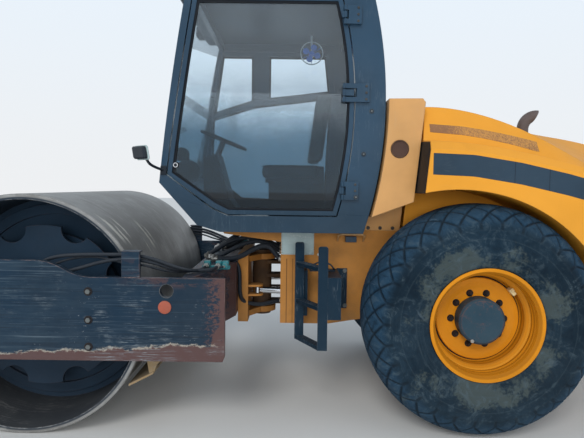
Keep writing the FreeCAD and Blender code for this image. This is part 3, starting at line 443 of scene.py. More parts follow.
def make_road_dust():
    """Dust in patches, thicker on what faces up and low down on the machine."""
    g, given, results = group("road_dust", [
        ("Coordinates", "Vector", None), ("Paint", "Color", None), ("Dust", "Color", None),
        ("Amount", "Float", 0.3), ("Size", "Float", 2.0), ("Shine", "Float", 0.4),
    ], [("Color", "Color"), ("Roughness", "Float")])
    coords = given["Coordinates"]
    broad = g.noise(coords, given["Size"], 6.0, 0.62)
    fine = g.noise(coords, g.times(given["Size"], 11.0), 5.0, 0.7)
    up = g.times(g.most(g.parts(g.add("NewGeometry").outputs["Normal"])[2], 0.0), 0.35)
    low = g.span(g.parts(coords)[2], 1.1, 0.1, 0.0, 0.22)
    patch = g.plus(g.times(broad, 0.75), g.times(fine, 0.35))
    patch = g.span(g.plus(patch, g.plus(up, low)), 0.42, 0.95)
    share = g.times(patch, given["Amount"], clamp=True)
    g.feed(results, {"Color": g.mix(share, given["Paint"], given["Dust"]),
                     "Roughness": g.plus(given["Shine"], g.times(share, 0.6), clamp=True)})
    return g.tree


def make_scratches():
    """Thin lines where a stretched noise crosses its middle, broken up into patches."""
    g, given, results = group("scratches", [
        ("Coordinates", "Vector", None), ("Stretch", "Vector", None), ("Amount", "Float", 0.3),
    ], [("Mask", "Float")])
    coords = given["Coordinates"]
    lines = g.noise(g.vector("MULTIPLY", coords, given["Stretch"]), 1.0, 3.0, 0.6, 0.4)
    thin = g.span(g.apart(lines, 0.5), 0.004, 0.022, 1.0, 0.0)
    patch = g.span(g.noise(coords, 3.1, 5.0, 0.7), 0.47, 0.66)
    g.feed(results, {"Mask": g.times(g.times(thin, patch), given["Amount"], clamp=True)})
    return g.tree


def make_worn_edge():
    """Softened normal at a solid's corners, and a broken mask of where the paint has gone there."""
    g, given, results = group("worn_edge", [
        ("Coordinates", "Vector", None), ("Width", "Float", 0.004), ("Amount", "Float", 0.4),
    ], [("Mask", "Float"), ("Normal", "Vector")])
    soft = g.add("Bevel", {"Radius": given["Width"]}, samples=4).outputs[0]
    true_normal = g.add("NewGeometry").outputs["Normal"]
    corner = g.span(g.vector("DOT_PRODUCT", soft, true_normal, "Value"), 0.995, 0.90)
    broken = g.span(g.noise(given["Coordinates"], 14.0, 6.0, 0.7), 0.40, 0.62)
    g.feed(results, {"Mask": g.times(g.times(corner, broken), given["Amount"], clamp=True), "Normal": soft})
    return g.tree


def make_grain():
    """Fine uneven surface: two sizes of noise as height."""
    g, given, results = group("grain", [
        ("Coordinates", "Vector", None), ("Size", "Float", 90.0), ("Depth", "Float", 0.0004),
        ("Normal", "Vector", None),
    ], [("Normal", "Vector")])
    fine = g.noise(given["Coordinates"], given["Size"], 3.0, 0.6)
    broad = g.noise(given["Coordinates"], g.times(given["Size"], 0.12), 3.0, 0.5)
    height = g.plus(fine, g.times(broad, 2.0))
    bump = g.add("Bump", {"Height": height, "Distance": given["Depth"], "Strength": 1.0,
                          "Normal": given["Normal"]})
    g.feed(results, {"Normal": bump.outputs[0]})
    return g.tree


road_dust = make_road_dust()
scratches = make_scratches()
worn_edge = make_worn_edge()
grain = make_grain()


# Finishes

def new_material(name):
    """A material with its graph and its shader."""
    material = bpy.data.materials.new(name)
    material.use_nodes = True
    return material, Graph(material.node_tree), material.node_tree.nodes["Principled BSDF"]


def finish(name, colour, roughness=0.45, metallic=0.0, coat=0.0, dust=DUST_GREY, dusty=0.3, dust_size=2.2,
           stretch=(3.0, 3.0, 60.0), scratched=0.0, under=BARE_STEEL, edge=0.0, edge_width=0.004,
           grain_size=120.0, grain_depth=0.0002, vary=0.10, gloss=0.5, bare=None, special=None):
    """Painted or plain solid finish: uneven tint, scratches, worn corners, then dust over all."""
    material, g, shader = new_material(name)
    coords = g.add("TexCoord").outputs["Object"]
    darker = rgba(c * (1 - vary * 1.6) for c in colour)
    lighter = rgba(min(c * (1 + vary), 1.0) for c in colour)
    shade = g.mix(g.span(g.noise(coords, 1.7, 4.0, 0.6), 0.35, 0.65), darker, lighter)
    if special:
        shade = special(g, coords, shade)
    if scratched:
        mask = g.use(scratches, {"Coordinates": coords, "Stretch": stretch, "Amount": scratched})["Mask"]
        shade = g.toned(shade, under, mask)
    corner = g.use(worn_edge, {"Coordinates": coords, "Width": edge_width, "Amount": edge})
    if edge:
        shade = g.toned(shade, bare or under, corner["Mask"])
    dusted = g.use(road_dust, {"Coordinates": coords, "Paint": shade, "Dust": rgba(dust), "Amount": dusty,
                               "Size": dust_size, "Shine": roughness})
    normal = g.use(grain, {"Coordinates": coords, "Size": grain_size, "Depth": grain_depth,
                           "Normal": corner["Normal"]})["Normal"]
    g.feed(shader, {"Base Color": dusted["Color"], "Roughness": dusted["Roughness"], "Normal": normal,
                    "Metallic": metallic, "Coat Weight": coat, "Coat Roughness": 0.12,
                    "Specular IOR Level": gloss})
    return material


def frame_wear(g, coords, shade):
    """Primer along the side plates' foot and rear end, pale where it chips, and long level scratches."""
    x, _, z = g.parts(coords)
    ragged = g.times(g.minus(g.noise(coords, 8.0, 8.0, 0.76), 0.5), 0.12)
    foot_line = g.span(x, 2.3, 0.62, PLATE_FOOT + 0.022, PLATE_FOOT + 0.098)
    height = g.minus(g.plus(z, ragged), foot_line)
    foot = g.span(height, 0.003, -0.003)
    end_line = g.plus(g.plus(x, ragged), g.span(z, 0.56, 0.80, -0.055, 0.0))
    end = g.span(end_line, 0.652, 0.646)
    top_zone = g.times(g.span(z, 0.94, 1.0), g.span(x, 1.35, 0.85))
    flaked = g.span(g.drawn(coords, (9.0, 9.0, 26.0), 7.0, 0.75), 0.50, 0.56)
    top_chips = g.times(top_zone, flaked)
    near_end = g.times(g.span(x, 0.80, 0.66), g.span(z, 0.52, 0.62))
    flakes = g.drawn(coords, (34.0, 20.0, 60.0), 6.0, 0.78)
    end_flakes = g.span(g.plus(flakes, g.times(near_end, 0.12)), 0.600, 0.625)
    end = g.times(end, g.span(flakes, 0.36, 0.42, 0.25, 1.0))
    end = g.most(end, g.times(end_flakes, near_end))
    gone = g.most(g.most(foot, end), g.times(top_chips, 0.75))
    edge_band = g.times(g.span(height, 0.014, 0.005), g.span(height, -0.006, 0.002))
    pale = g.span(g.drawn(coords, (14.0, 9.0, 60.0), 6.0, 0.7), 0.40, 0.52)
    chipped = g.times(edge_band, pale)
    streaks = g.drawn(coords, (1.6, 4.0, 120.0), 4.0, 0.62)
    streak_zone = g.span(g.noise(coords, 1.9, 4.0, 0.6), 0.36, 0.62)
    front = g.span(x, 1.2, 1.9, 0.25, 1.0)
    cloudy = g.span(g.drawn(coords, (3.0, 3.0, 22.0), 5.0, 0.65), 0.40, 0.66)
    haze = g.times(cloudy, front)
    shade = g.toned(shade, (0.050, 0.085, 0.115), haze, 0.22)
    light = g.times(g.span(streaks, 0.55, 0.68), streak_zone)
    shade = g.toned(shade, (0.120, 0.165, 0.205), light, 0.55)
    shade = g.toned(shade, (0.004, 0.010, 0.020), g.span(streaks, 0.43, 0.30), 0.75)
    shade = g.toned(shade, PRIMER_BROWN, gone, 0.94)
    shade = g.toned(shade, (0.52, 0.46, 0.38), chipped, 0.62)
    specks = g.span(g.drawn(coords, (30.0, 30.0, 70.0), 4.0, 0.8), 0.650, 0.675)
    specks = g.times(specks, g.span(g.noise(coords, 2.3, 3.0, 0.6), 0.50, 0.60))
    return g.toned(shade, (0.42, 0.45, 0.48), specks, 0.6)


def drum_streaks(g, coords, shade):
    """Mottled rolled steel with bright rubs that run round the drum and darker stains, painted highlights
    along a few polished rings, and painted shade inside the shell.
    """
    fine = g.drawn(coords, (1.2, 30.0, 1.2), 6.0, 0.66)
    mottle = g.noise(coords, 2.6, 7.0, 0.66)
    shade = g.toned(shade, (0.135, 0.130, 0.122), g.span(mottle, 0.38, 0.62, 0.0, 0.55))
    shade = g.toned(shade, (0.085, 0.082, 0.080), g.span(fine, 0.44, 0.32), 0.40)
    rubs = g.drawn(coords, (3.2, 21.0, 3.2), 4.0, 0.6, 0.5, shift=(1.7, 0.4, 2.1))
    where = g.span(g.noise(coords, 1.3, 3.0, 0.5), 0.52, 0.62)
    bright = g.times(g.span(rubs, 0.64, 0.72), where)
    shade = g.toned(shade, (0.66, 0.64, 0.58), bright, 0.6)
    x, y, z = g.parts(coords)
    wobble = g.times(g.minus(g.drawn(coords, (9.0, 24.0, 9.0), 6.0, 0.7), 0.5), 0.11)
    across = g.plus(y, wobble)
    # painted highlights: bright bands along a few rings, only on the upper shoulder of the drum's rear half
    for place, width, low, high in DRUM_RING_HIGHLIGHTS:
        near = g.span(g.apart(across, place), width * 1.3, width * 0.5)
        band = g.times(near, g.span(z, low - 0.03, low + 0.04))
        band = g.times(band, g.span(z, high + 0.03, high - 0.05))
        band = g.times(band, g.span(x, DRUM_AXLE[0], DRUM_AXLE[0] - 0.1))
        shade = g.toned(shade, (0.72, 0.70, 0.63), band, 0.92)
    # painted shade: the shell's inside is painted dark, mottled blue-black
    inner = g.mix(g.span(mottle, 0.40, 0.60), rgba((0.012, 0.024, 0.042)), rgba((0.030, 0.042, 0.058)))
    return g.mix(g.span(g.off_axle(coords, DRUM_AXLE)[1], 0.742, 0.736), shade, inner)


def fan_colours(g, coords, shade):
    """White ring and stalk, blue blades and hub inside the ring."""
    away, reach = g.off_axle(coords, FAN_CENTRE)
    inside = g.times(g.span(reach, 0.086, 0.082), g.span(g.parts(away)[1], -0.018, -0.014))
    return g.toned(shade, (0.020, 0.20, 0.85), inside)


def bare_bands(g, coords, shade):
    """Paler patches where the sun has bleached the hood's orange."""
    pale = g.span(g.noise(coords, 0.9, 3.0, 0.5), 0.45, 0.75)
    return g.toned(shade, (0.80, 0.42, 0.08), pale, 0.10)


def stripe_seams(g, coords, shade):
    """Two upright joints where the stripe's lengths meet."""
    x = g.parts(coords)[0]
    for place in STRIPE_JOINTS:
        shade = g.toned(shade, (0.006, 0.012, 0.022), g.span(g.apart(x, place), 0.0035, 0.001, 0.0, 0.8))
    return shade


def guard_colours(g, coords, shade):
    """The rod keeps its tan; the small step lamp inside it is dark blue."""
    x, y, _ = g.parts(coords)
    across = g.span(g.apart(x, GUARD_LAMP_X), 0.0405, 0.0395)
    inside = g.times(across, g.span(g.math("ABSOLUTE", y), 0.5515, 0.5505))
    return g.toned(shade, CAB_BLUE, inside)


def weathered_band(g, coords, shade):
    """Sun-bleached strip: fine orange and brown flecks, thicker towards the rear."""
    flecks = g.drawn(coords, (150.0, 20.0, 110.0), 5.0, 0.8)
    rear = g.span(g.parts(coords)[0], -0.72, -0.95, -0.10, 0.06)
    shade = g.toned(shade, (0.54, 0.27, 0.075), g.span(g.plus(flecks, rear), 0.47, 0.60))
    deep = g.span(g.noise(coords, 31.0, 4.0, 0.65), 0.54, 0.64)
    return g.toned(shade, (0.20, 0.105, 0.055), deep, 0.45)


def tyre_dirt_and_groove_shade(g, coords, shade):
    """Dry mud in broad patches round the rim, scuffed rings, pale wavy lines of dried water, and painted
    shade in the tread's grooves.
    """
    away, reach = g.off_axle(coords, axle_of("tyre_left"))
    broad = g.noise(coords, 2.2, 5.0, 0.60, 0.6)
    swirl = g.drawn(coords, (9.0, 5.0, 9.0), 8.0, 0.74, 1.8)
    fine = g.noise(coords, 46.0, 4.0, 0.7)
    shade = g.toned(shade, (0.016, 0.050, 0.094), g.span(reach, 0.600, 0.680, 0.0, 0.85))
    shade = g.toned(shade, (0.003, 0.010, 0.019), g.span(swirl, 0.50, 0.36), 0.60)
    patches = g.plus(g.times(broad, 0.80), g.times(fine, 0.22))
    near_rim = g.span(reach, 0.68, 0.42, -0.085, 0.045)
    mud = g.span(g.plus(patches, near_rim), 0.535, 0.615)
    shade = g.toned(shade, (0.082, 0.102, 0.094), mud, 0.55)
    smear = g.times(g.span(swirl, 0.50, 0.64), g.span(broad, 0.40, 0.60, 0.25, 1.0))
    shade = g.toned(shade, (0.076, 0.112, 0.138), smear, 0.52)
    round_about = g.add("CombineXYZ", {0: g.times(reach, 42.0), 1: swirl}).outputs[0]
    rings = g.noise(round_about, 1.0, 2.0)
    ring = g.times(g.span(rings, 0.54, 0.64), g.span(reach, 0.62, 0.56))
    shade = g.toned(shade, (0.060, 0.090, 0.110), ring, 0.24)
    contour = g.noise(coords, 1.7, 2.0, 0.5, 0.3)
    line = g.span(g.apart(contour, 0.47), 0.0006, 0.0050, 1.0, 0.0)
    stain = g.times(line, g.span(g.noise(coords, 6.0, 4.0, 0.6), 0.46, 0.60))
    upper = g.vector("DOT_PRODUCT", away, (0.55, 0.0, 0.83), "Value")
    stain = g.times(stain, g.span(upper, 0.18, 0.34))
    shade = g.toned(shade, (0.130, 0.180, 0.225), stain, 0.45)
    # painted shade: the tread's grooves and sipes are darkened nearly to black
    groove = g.add("Attribute", attribute_name="groove").outputs["Fac"]
    return g.toned(shade, (0.002, 0.006, 0.012), groove, 0.85)


def rim_ridge_shade_and_highlights(g, coords, shade):
    """Painted light on the rounded ridges inside the barrel: painted shade between them and painted
    highlights along their tops.
    """
    reach = g.off_axle(coords, axle_of("rim_left"))[1]
    depth = g.math("ABSOLUTE", g.parts(coords)[1])
    wave = g.math("SINE", g.times(depth, 2 * math.pi / RIDGE_PITCH))
    barrel = g.span(reach, 0.276, 0.282)
    painted_ridge_shade = g.times(g.span(wave, -0.1, 0.8), barrel)
    # painted shade between the ridges
    shade = g.toned(shade, (0.20, 0.070, 0.004), painted_ridge_shade, 0.42)
    crest = g.times(g.span(wave, -0.75, -0.98), barrel)
    # painted highlights along the ridges' tops
    return g.toned(shade, (0.86, 0.42, 0.045), crest, 0.35)


def cab_painted_shade(g, coords, shade):
    """Painted shade: the cab's paint is darker and duller towards its foot, where shadow falls."""
    low = g.span(g.parts(coords)[2], 1.62, 1.34)
    # painted shade: the cab darkens towards its foot
    return g.toned(shade, (0.003, 0.018, 0.034), low, 0.48)


def frame_joints(g, coords, shade):
    """Two upright folds in the rear frame's front part."""
    x, y, z = g.parts(coords)
    side = g.times(g.span(g.math("ABSOLUTE", y), 0.485, 0.49), g.span(z, 1.064, 1.058))
    for place, share in FRAME_FOLDS:
        line = g.times(g.span(g.apart(x, place), 0.0050, 0.0015), side)
        shade = g.toned(shade, (0.060, 0.026, 0.008), g.times(line, share))
    return shade


PANE_ROUGHNESS = 0.015


def glass(name, tint, low_tint, clear=1.0):
    """Window pane: tinted, turning darker downwards, with a faint uneven film."""
    material, g, shader = new_material(name)
    coords = g.add("TexCoord").outputs["Object"]
    height = g.plus(g.parts(coords)[2], g.times(g.noise(coords, 1.6, 4.0, 0.6), 0.30))
    body = g.mix(g.span(height, 2.00, 2.62), rgba(low_tint), rgba(tint))
    film_share = g.span(g.noise(coords, 2.0, 5.0, 0.6), 0.40, 0.80, 0.0, 0.5)
    shade = g.mix(film_share, body, g.mix(0.12, body, rgba((0.7, 0.75, 0.78))))
    haze = g.span(g.noise(coords, 3.4, 6.0, 0.7), 0.50, 0.80, PANE_ROUGHNESS, PANE_ROUGHNESS + 0.05)
    g.feed(shader, {"Base Color": shade, "Roughness": haze, "Transmission Weight": clear, "IOR": 1.45})
    return material


steel_finish = finish("rolled_steel", (0.315, 0.318, 0.315), 0.46, metallic=0.30, dusty=0.22,
                      dust=(0.26, 0.245, 0.225), scratched=0.35, stretch=(2.0, 40.0, 2.0), edge=0.7,
                      edge_width=0.010, grain_depth=0.0004, special=drum_streaks)
drum_inside = finish("drum_inner_paint", (0.014, 0.034, 0.062), 0.6, dusty=0.42, dust=(0.050, 0.062, 0.080),
                     dust_size=3.0, edge=0.5, edge_width=0.008, under=(0.13, 0.085, 0.085), gloss=0.3)
frame_paint = finish("frame_paint", (0.004, 0.021, 0.044), 0.42, dusty=0.10, dust=(0.15, 0.17, 0.18),
                     scratched=1.0, stretch=(2.2, 4.0, 95.0), under=(0.24, 0.28, 0.31), edge=0.95,
                     edge_width=0.009, gloss=0.28, bare=(0.21, 0.145, 0.135), special=frame_wear)
cab_paint = finish("cab_paint", CAB_BLUE, 0.28, coat=0.10, dusty=0.07, dust=(0.20, 0.24, 0.28),
                   scratched=0.22, stretch=(40.0, 4.0, 3.0), under=(0.15, 0.20, 0.25), edge=0.12,
                   edge_width=0.005, gloss=0.35, special=cab_painted_shade)
roof_finish = finish("roof_moulding", CAB_BLUE, 0.42, dusty=0.25, dust=(0.10, 0.16, 0.22), edge_width=0.006,
                     gloss=0.35)
hood_paint = finish("hood_paint", HOOD_ORANGE, 0.48, dusty=0.06, dust=(0.60, 0.34, 0.12), scratched=0.10,
                    stretch=(3.0, 6.0, 30.0), under=(0.70, 0.40, 0.16), edge=0.25, edge_width=0.010,
                    vary=0.04, gloss=0.10, special=bare_bands)
tank_paint = finish("tank_paint", TAN_ORANGE, 0.38, dusty=0.20, dust=(0.52, 0.34, 0.18), scratched=0.20,
                    stretch=(30.0, 4.0, 3.0), under=(0.50, 0.36, 0.24), edge=0.45, edge_width=0.010,
                    vary=0.07, gloss=0.40)
rim_paint = finish("rim_paint", RIM_ORANGE, 0.36, coat=0.02, dusty=0.20, dust=(0.36, 0.135, 0.012),
                   dust_size=4.0, scratched=0.12, stretch=(9.0, 9.0, 9.0), under=(0.40, 0.18, 0.04),
                   edge=0.30, edge_width=0.005, vary=0.06, gloss=0.20, special=rim_ridge_shade_and_highlights)
chassis_paint = finish("chassis_paint", FRAME_ORANGE, 0.46, dusty=0.55, dust=(0.19, 0.125, 0.065),
                       dust_size=3.0, scratched=0.4, stretch=(4.0, 4.0, 30.0), under=(0.24, 0.14, 0.09),
                       edge=0.6, gloss=0.3, special=frame_joints)
guard_paint = finish("guard_paint", (0.56, 0.33, 0.15), 0.42, dusty=0.35, dust=(0.30, 0.20, 0.12), edge=0.4,
                     under=(0.24, 0.14, 0.09), special=guard_colours)
scraper_paint = finish("scraper_paint", (0.36, 0.24, 0.11), 0.55, dusty=0.65, dust=(0.20, 0.17, 0.13),
                       scratched=0.7, stretch=(20.0, 3.0, 20.0), under=(0.30, 0.28, 0.25), edge=0.9,
                       gloss=0.3)
joint_iron = finish("joint_iron", (0.120, 0.068, 0.036), 0.60, dusty=0.75, dust=(0.050, 0.044, 0.042),
                    dust_size=6.0, edge=0.6, under=(0.38, 0.20, 0.07), vary=0.3, gloss=0.25)
iron = finish("black_iron", IRON_BLACK, 0.42, dusty=0.40, dust=(0.13, 0.125, 0.12), scratched=0.4, edge=0.6,
              under=(0.22, 0.22, 0.22), gloss=0.4)
step_paint = finish("step_paint", (0.003, 0.018, 0.036), 0.42, dusty=0.12, dust=(0.11, 0.12, 0.13),
                    scratched=0.45, stretch=(30.0, 30.0, 4.0), edge=0.75, under=(0.17, 0.20, 0.23),
                    gloss=0.2)
hub_paint = finish("hub_paint", (0.022, 0.052, 0.078), 0.50, dusty=0.25, dust=(0.080, 0.105, 0.120),
                   dust_size=7.0, scratched=0.5, stretch=(12.0, 12.0, 12.0), under=(0.16, 0.075, 0.060),
                   edge=1.0, edge_width=0.012, gloss=0.22)
chrome = finish("rod_chrome", (0.80, 0.81, 0.83), 0.08, metallic=1.0, dusty=0.10, grain_depth=0.00002,
                vary=0.02)
brass = finish("brass", (0.84, 0.70, 0.38), 0.30, dusty=0.15, edge=0.3, edge_width=0.001)
valve_red = finish("valve_red", (0.22, 0.030, 0.022), 0.5, dusty=0.35, edge_width=0.001)
bolt_steel = finish("bolt_steel", (0.075, 0.072, 0.070), 0.40, metallic=0.6, dusty=0.4, edge=0.5,
                    edge_width=0.002, under=(0.30, 0.28, 0.26))
dark_steel = finish("dark_steel", (0.016, 0.014, 0.016), 0.50, metallic=0.2, dusty=0.3,
                    dust=(0.06, 0.05, 0.045), edge=0.4, edge_width=0.002, under=(0.14, 0.10, 0.08),
                    gloss=0.3)
grey_steel = finish("grey_steel", (0.150, 0.165, 0.165), 0.42, metallic=0.3, dusty=0.4,
                    dust=(0.10, 0.10, 0.095), edge=0.6, edge_width=0.002, under=(0.34, 0.34, 0.33))
washer_blue = finish("washer_blue", (0.006, 0.018, 0.034), 0.40, dusty=0.1, edge=0.9, edge_width=0.003,
                     under=(0.16, 0.20, 0.23))
black_plastic = finish("black_plastic", (0.009, 0.014, 0.022), 0.50, dusty=0.18, dust=(0.14, 0.15, 0.16),
                       edge=0.15, under=(0.09, 0.09, 0.10), grain_size=300.0, gloss=0.35)
seal_rubber = finish("seal_rubber", (0.006, 0.008, 0.012), 0.62, dusty=0.14, dust=(0.08, 0.08, 0.08),
                     gloss=0.3)
hose_rubber = finish("hose_rubber", (0.008, 0.013, 0.021), 0.42, dusty=0.30, dust=(0.085, 0.090, 0.10),
                     grain_size=260.0, grain_depth=0.0005, gloss=0.4)
teal_paint = finish("teal_paint", TEAL, 0.38, dusty=0.25, edge=0.4, edge_width=0.002)
fitting_steel = finish("fitting_steel", (0.52, 0.50, 0.46), 0.30, metallic=0.9, dusty=0.35, edge=0.4,
                       edge_width=0.002)
grille_finish = finish("grille_black", (0.020, 0.022, 0.026), 0.5, dusty=0.35)
engine_finish = finish("engine_iron", (0.10, 0.10, 0.10), 0.5, metallic=0.2, dusty=0.6, edge=0.3)
radiator_finish = finish("radiator_fins", (0.24, 0.24, 0.25), 0.45, metallic=0.6, dusty=0.5,
                         stretch=(3.0, 200.0, 3.0), scratched=0.6, under=(0.05, 0.05, 0.05))
fan_finish = finish("fan_plastic", (0.78, 0.82, 0.84), 0.35, dusty=0.05, special=fan_colours)
stripe_film = finish("stripe_film", STRIPE_BLUE, 0.38, coat=0.05, dusty=0.10, dust=(0.12, 0.13, 0.14),
                     scratched=0.25, stretch=(10.0, 4.0, 40.0), under=(0.10, 0.12, 0.14), gloss=0.25,
                     special=stripe_seams)
faded_film = finish("faded_film", (0.24, 0.120, 0.060), 0.6, dusty=0.15, dust=(0.42, 0.24, 0.10), vary=0.15,
                    gloss=0.3, special=weathered_band)
plate_metal = finish("plate_metal", (0.44, 0.56, 0.57), 0.42, metallic=0.1, dusty=0.30,
                     dust=(0.50, 0.52, 0.48), dust_size=9.0, scratched=0.8, stretch=(14.0, 5.0, 60.0),
                     under=(0.74, 0.78, 0.76))
reflector_red = finish("reflector_red", (0.40, 0.080, 0.040), 0.34, coat=0.1, dusty=0.40,
                       dust=(0.30, 0.16, 0.12), grain_size=420.0, grain_depth=0.0012)
lamp_red = finish("lamp_red", (0.42, 0.018, 0.012), 0.16, coat=0.5, dusty=0.2, grain_size=240.0,
                  grain_depth=0.0015)
lamp_lens = finish("lamp_lens", (0.62, 0.66, 0.68), 0.12, metallic=0.4, coat=0.6, dusty=0.2,
                   grain_size=200.0, grain_depth=0.0016)
mirror_face = finish("mirror_face", (0.80, 0.82, 0.84), 0.03, metallic=1.0, dusty=0.12, grain_depth=0.0,
                     vary=0.01)
plug_finish = finish("plug_rust", (0.075, 0.042, 0.034), 0.60, dusty=0.35, dust=(0.16, 0.095, 0.06),
                     dust_size=9.0, edge=0.5, under=(0.30, 0.18, 0.10), gloss=0.3)
exhaust_finish = finish("exhaust_pipe", (0.130, 0.105, 0.100), 0.48, metallic=0.25, dusty=0.40,
                        dust=(0.13, 0.085, 0.07), dust_size=7.0, edge=0.9, edge_width=0.005,
                        under=(0.78, 0.76, 0.74))
tyre_rubber = finish("tyre_rubber", RUBBER_BLACK, 0.70, dusty=0.14, dust=(0.075, 0.095, 0.105),
                     dust_size=3.4, grain_size=85.0, grain_depth=0.0010, vary=0.2, gloss=0.16,
                     special=tyre_dirt_and_groove_shade)
window_glass = glass("window_glass", (0.94, 0.97, 0.98), (0.80, 0.88, 0.90))
door_tint = glass("door_glass_tint", (0.80, 0.91, 0.99), (0.072, 0.145, 0.215), clear=0.96)

for node_material, node_names in (
        (steel_finish, "drum_shell"), (frame_paint, "drum_frame"), (scraper_paint, "drum_scrapers"),
        (drum_inside, "drum_webs drum_carrier_left drum_carrier_right drum_mounts"),
        (chassis_paint, "pivot_yoke rear_frame"), (joint_iron, "pivot_housing"),
        (iron, "steering_barrel_left steering_barrel_right rear_axle counterweight"),
        (chrome, "steering_rod_left steering_rod_right"), (rim_paint, "rim_left rim_right"),
        (hub_paint, "hub_left hub_right"), (roof_finish, "cab_roof"), (window_glass, "cab_glass"),
        (cab_paint, "cab_floor cab_frame cab_back_wall right_wall door_frame"), (door_tint, "door_glass"),
        (tank_paint, "tank_cover"), (hood_paint, "hood_shell"), (grille_finish, "rear_grille"),
        (exhaust_finish, "exhaust_tail"), (engine_finish, "engine_block"), (radiator_finish, "radiator"),
        (lamp_red, "tail_lamps"), (step_paint, "ladder ladder_bracket"), (guard_paint, "lamp_guard"),
        (fan_finish, "cab_fan"), (black_plastic, "mirrors seat_base steering_console work_lamps")):
    for node_name in node_names.split():
        materials = nodes[node_name].data.materials
        materials.clear()
        materials.append(node_material)


# Tyres with their tread

TREAD_PITCHES = 30
TREAD_COLUMNS = 22
TREAD_DEPTH = 0.010
WIDEST_R = 0.535


def tyre_section(radius, half):
    """Half section from bead to crown: a drawn-in foot, then a quarter of a superellipse."""
    bead = np.array([(0.3296, half - 0.038), (0.345, half - 0.0355), (0.3575, half - 0.0335)])
    r = np.linspace(0.361, WIDEST_R, 16)[:-1]
    foot = np.stack([r, half - 0.024 * ((WIDEST_R - r) / 0.18) ** 2.2], -1)
    turn = np.linspace(0, math.pi / 2, 54)
    crown = np.stack([WIDEST_R + (radius - WIDEST_R) * np.sin(turn) ** (2 / 2.7),
                      half * np.cos(turn) ** (2 / 2.7)], -1)
    return np.concatenate([bead, foot, crown])


def ramp(x, low, high):
    """0 up to low, 1 from high, and 3t squared less 2t cubed between them."""
    t = np.clip((x - low) / (high - low), 0, 1)
    return t * t * (3 - 2 * t)


def treaded_tyre(side):
    """The tyre's torus, with grooves where (u + v) or (u - v) is whole.

    u counts pitches round the tyre and v counts them across it.
    """
    name = "tyre_left" if side > 0 else "tyre_right"
    low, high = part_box(name)
    cx, cy, cz = (low + high) / 2
    radius, half = (high.x - low.x) / 2, (high.y - low.y) / 2
    section = tyre_section(radius, half)
    profile = np.concatenate([section, (section * (1, -1))[::-1][1:]])
    step = np.linalg.norm(np.diff(profile, axis=0), axis=1)
    run = np.concatenate([[0], np.cumsum(step)])
    run = run - run[len(section) - 1]
    along = np.gradient(profile, axis=0)
    outward = np.stack([along[:, 1], -along[:, 0]], -1)
    outward = outward / np.linalg.norm(outward, axis=1)[:, None]
    outward = outward * np.where((outward * (profile - (WIDEST_R - 0.08, 0))).sum(1) < 0, -1, 1)[:, None]
    turns = np.linspace(0, 1, TREAD_COLUMNS * TREAD_PITCHES, endpoint=False)
    pitch = 2 * math.pi * radius / TREAD_PITCHES
    u, v = turns[None] * TREAD_PITCHES, run[:, None] / pitch
    off = np.stack([np.abs((w + 0.5) % 1 - 0.5) for w in (u + v, u - v)]).min(0)
    r = profile[:, 0][:, None]
    groove = ramp(off, 0.100, 0.035) * ramp(r, 0.618, 0.668)
    sipe = ramp(np.abs((u + 0.5) % 1 - 0.5), 0.09, 0.04) * ramp(r, 0.585, 0.61) * ramp(r, 0.660, 0.635)
    ring = 0.004 * np.exp(-((r - 0.590) / 0.005) ** 2) - 0.0018 * np.exp(-((r - 0.398) / 0.004) ** 2)
    ring = ring + 0.0022 * np.exp(-((r - 0.415) / 0.005) ** 2) + 0.0016 * np.exp(-((r - 0.502) / 0.003) ** 2)
    lift = ring - TREAD_DEPTH * groove - 0.003 * sipe
    surface = profile[:, None] + outward[:, None] * lift[..., None]
    t = turns * 2 * math.pi
    grid = np.stack([cx + surface[..., 0] * np.cos(t), cy + side * surface[..., 1],
                     cz + surface[..., 0] * np.sin(t)], -1)
    grid[..., 2] = np.maximum(grid[..., 2], low.z)
    body = "wheel_left" if side > 0 else "wheel_right"
    tyre = piece("treaded_" + name, [(grid, True, True)], tyre_rubber, body, 60, [name])
    # the groove mask is kept for the painted shade in the grooves
    depth = tyre.data.attributes.new("groove", "FLOAT", "POINT")
    depth.data.foreach_set("value", np.maximum(groove, 0.7 * sipe).astype(np.float32).ravel())


for side in (1, -1):
    treaded_tyre(side)


# Wheel nuts, hub plugs and tyre valves

AXLE_X, _, AXLE_Z = axle_of("hub_left")
HUB_FACE_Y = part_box("hub_left")[1].y
DISC_FACE_Y = HUB_FACE_Y - 0.105
NUT_RING_R, NUT_COUNT = 0.1730, 10
VALVE_R, VALVE_TURN = 0.281, math.radians(139)
GAP_LOW_R, GAP_HIGH_R = 0.2685, 0.2775


def round_axle(radius, turn, y):
    """Point round the rear axle: x + r cos t and z + r sin t, at y."""
    return np.array([AXLE_X + radius * math.cos(turn), y, AXLE_Z + radius * math.sin(turn)])


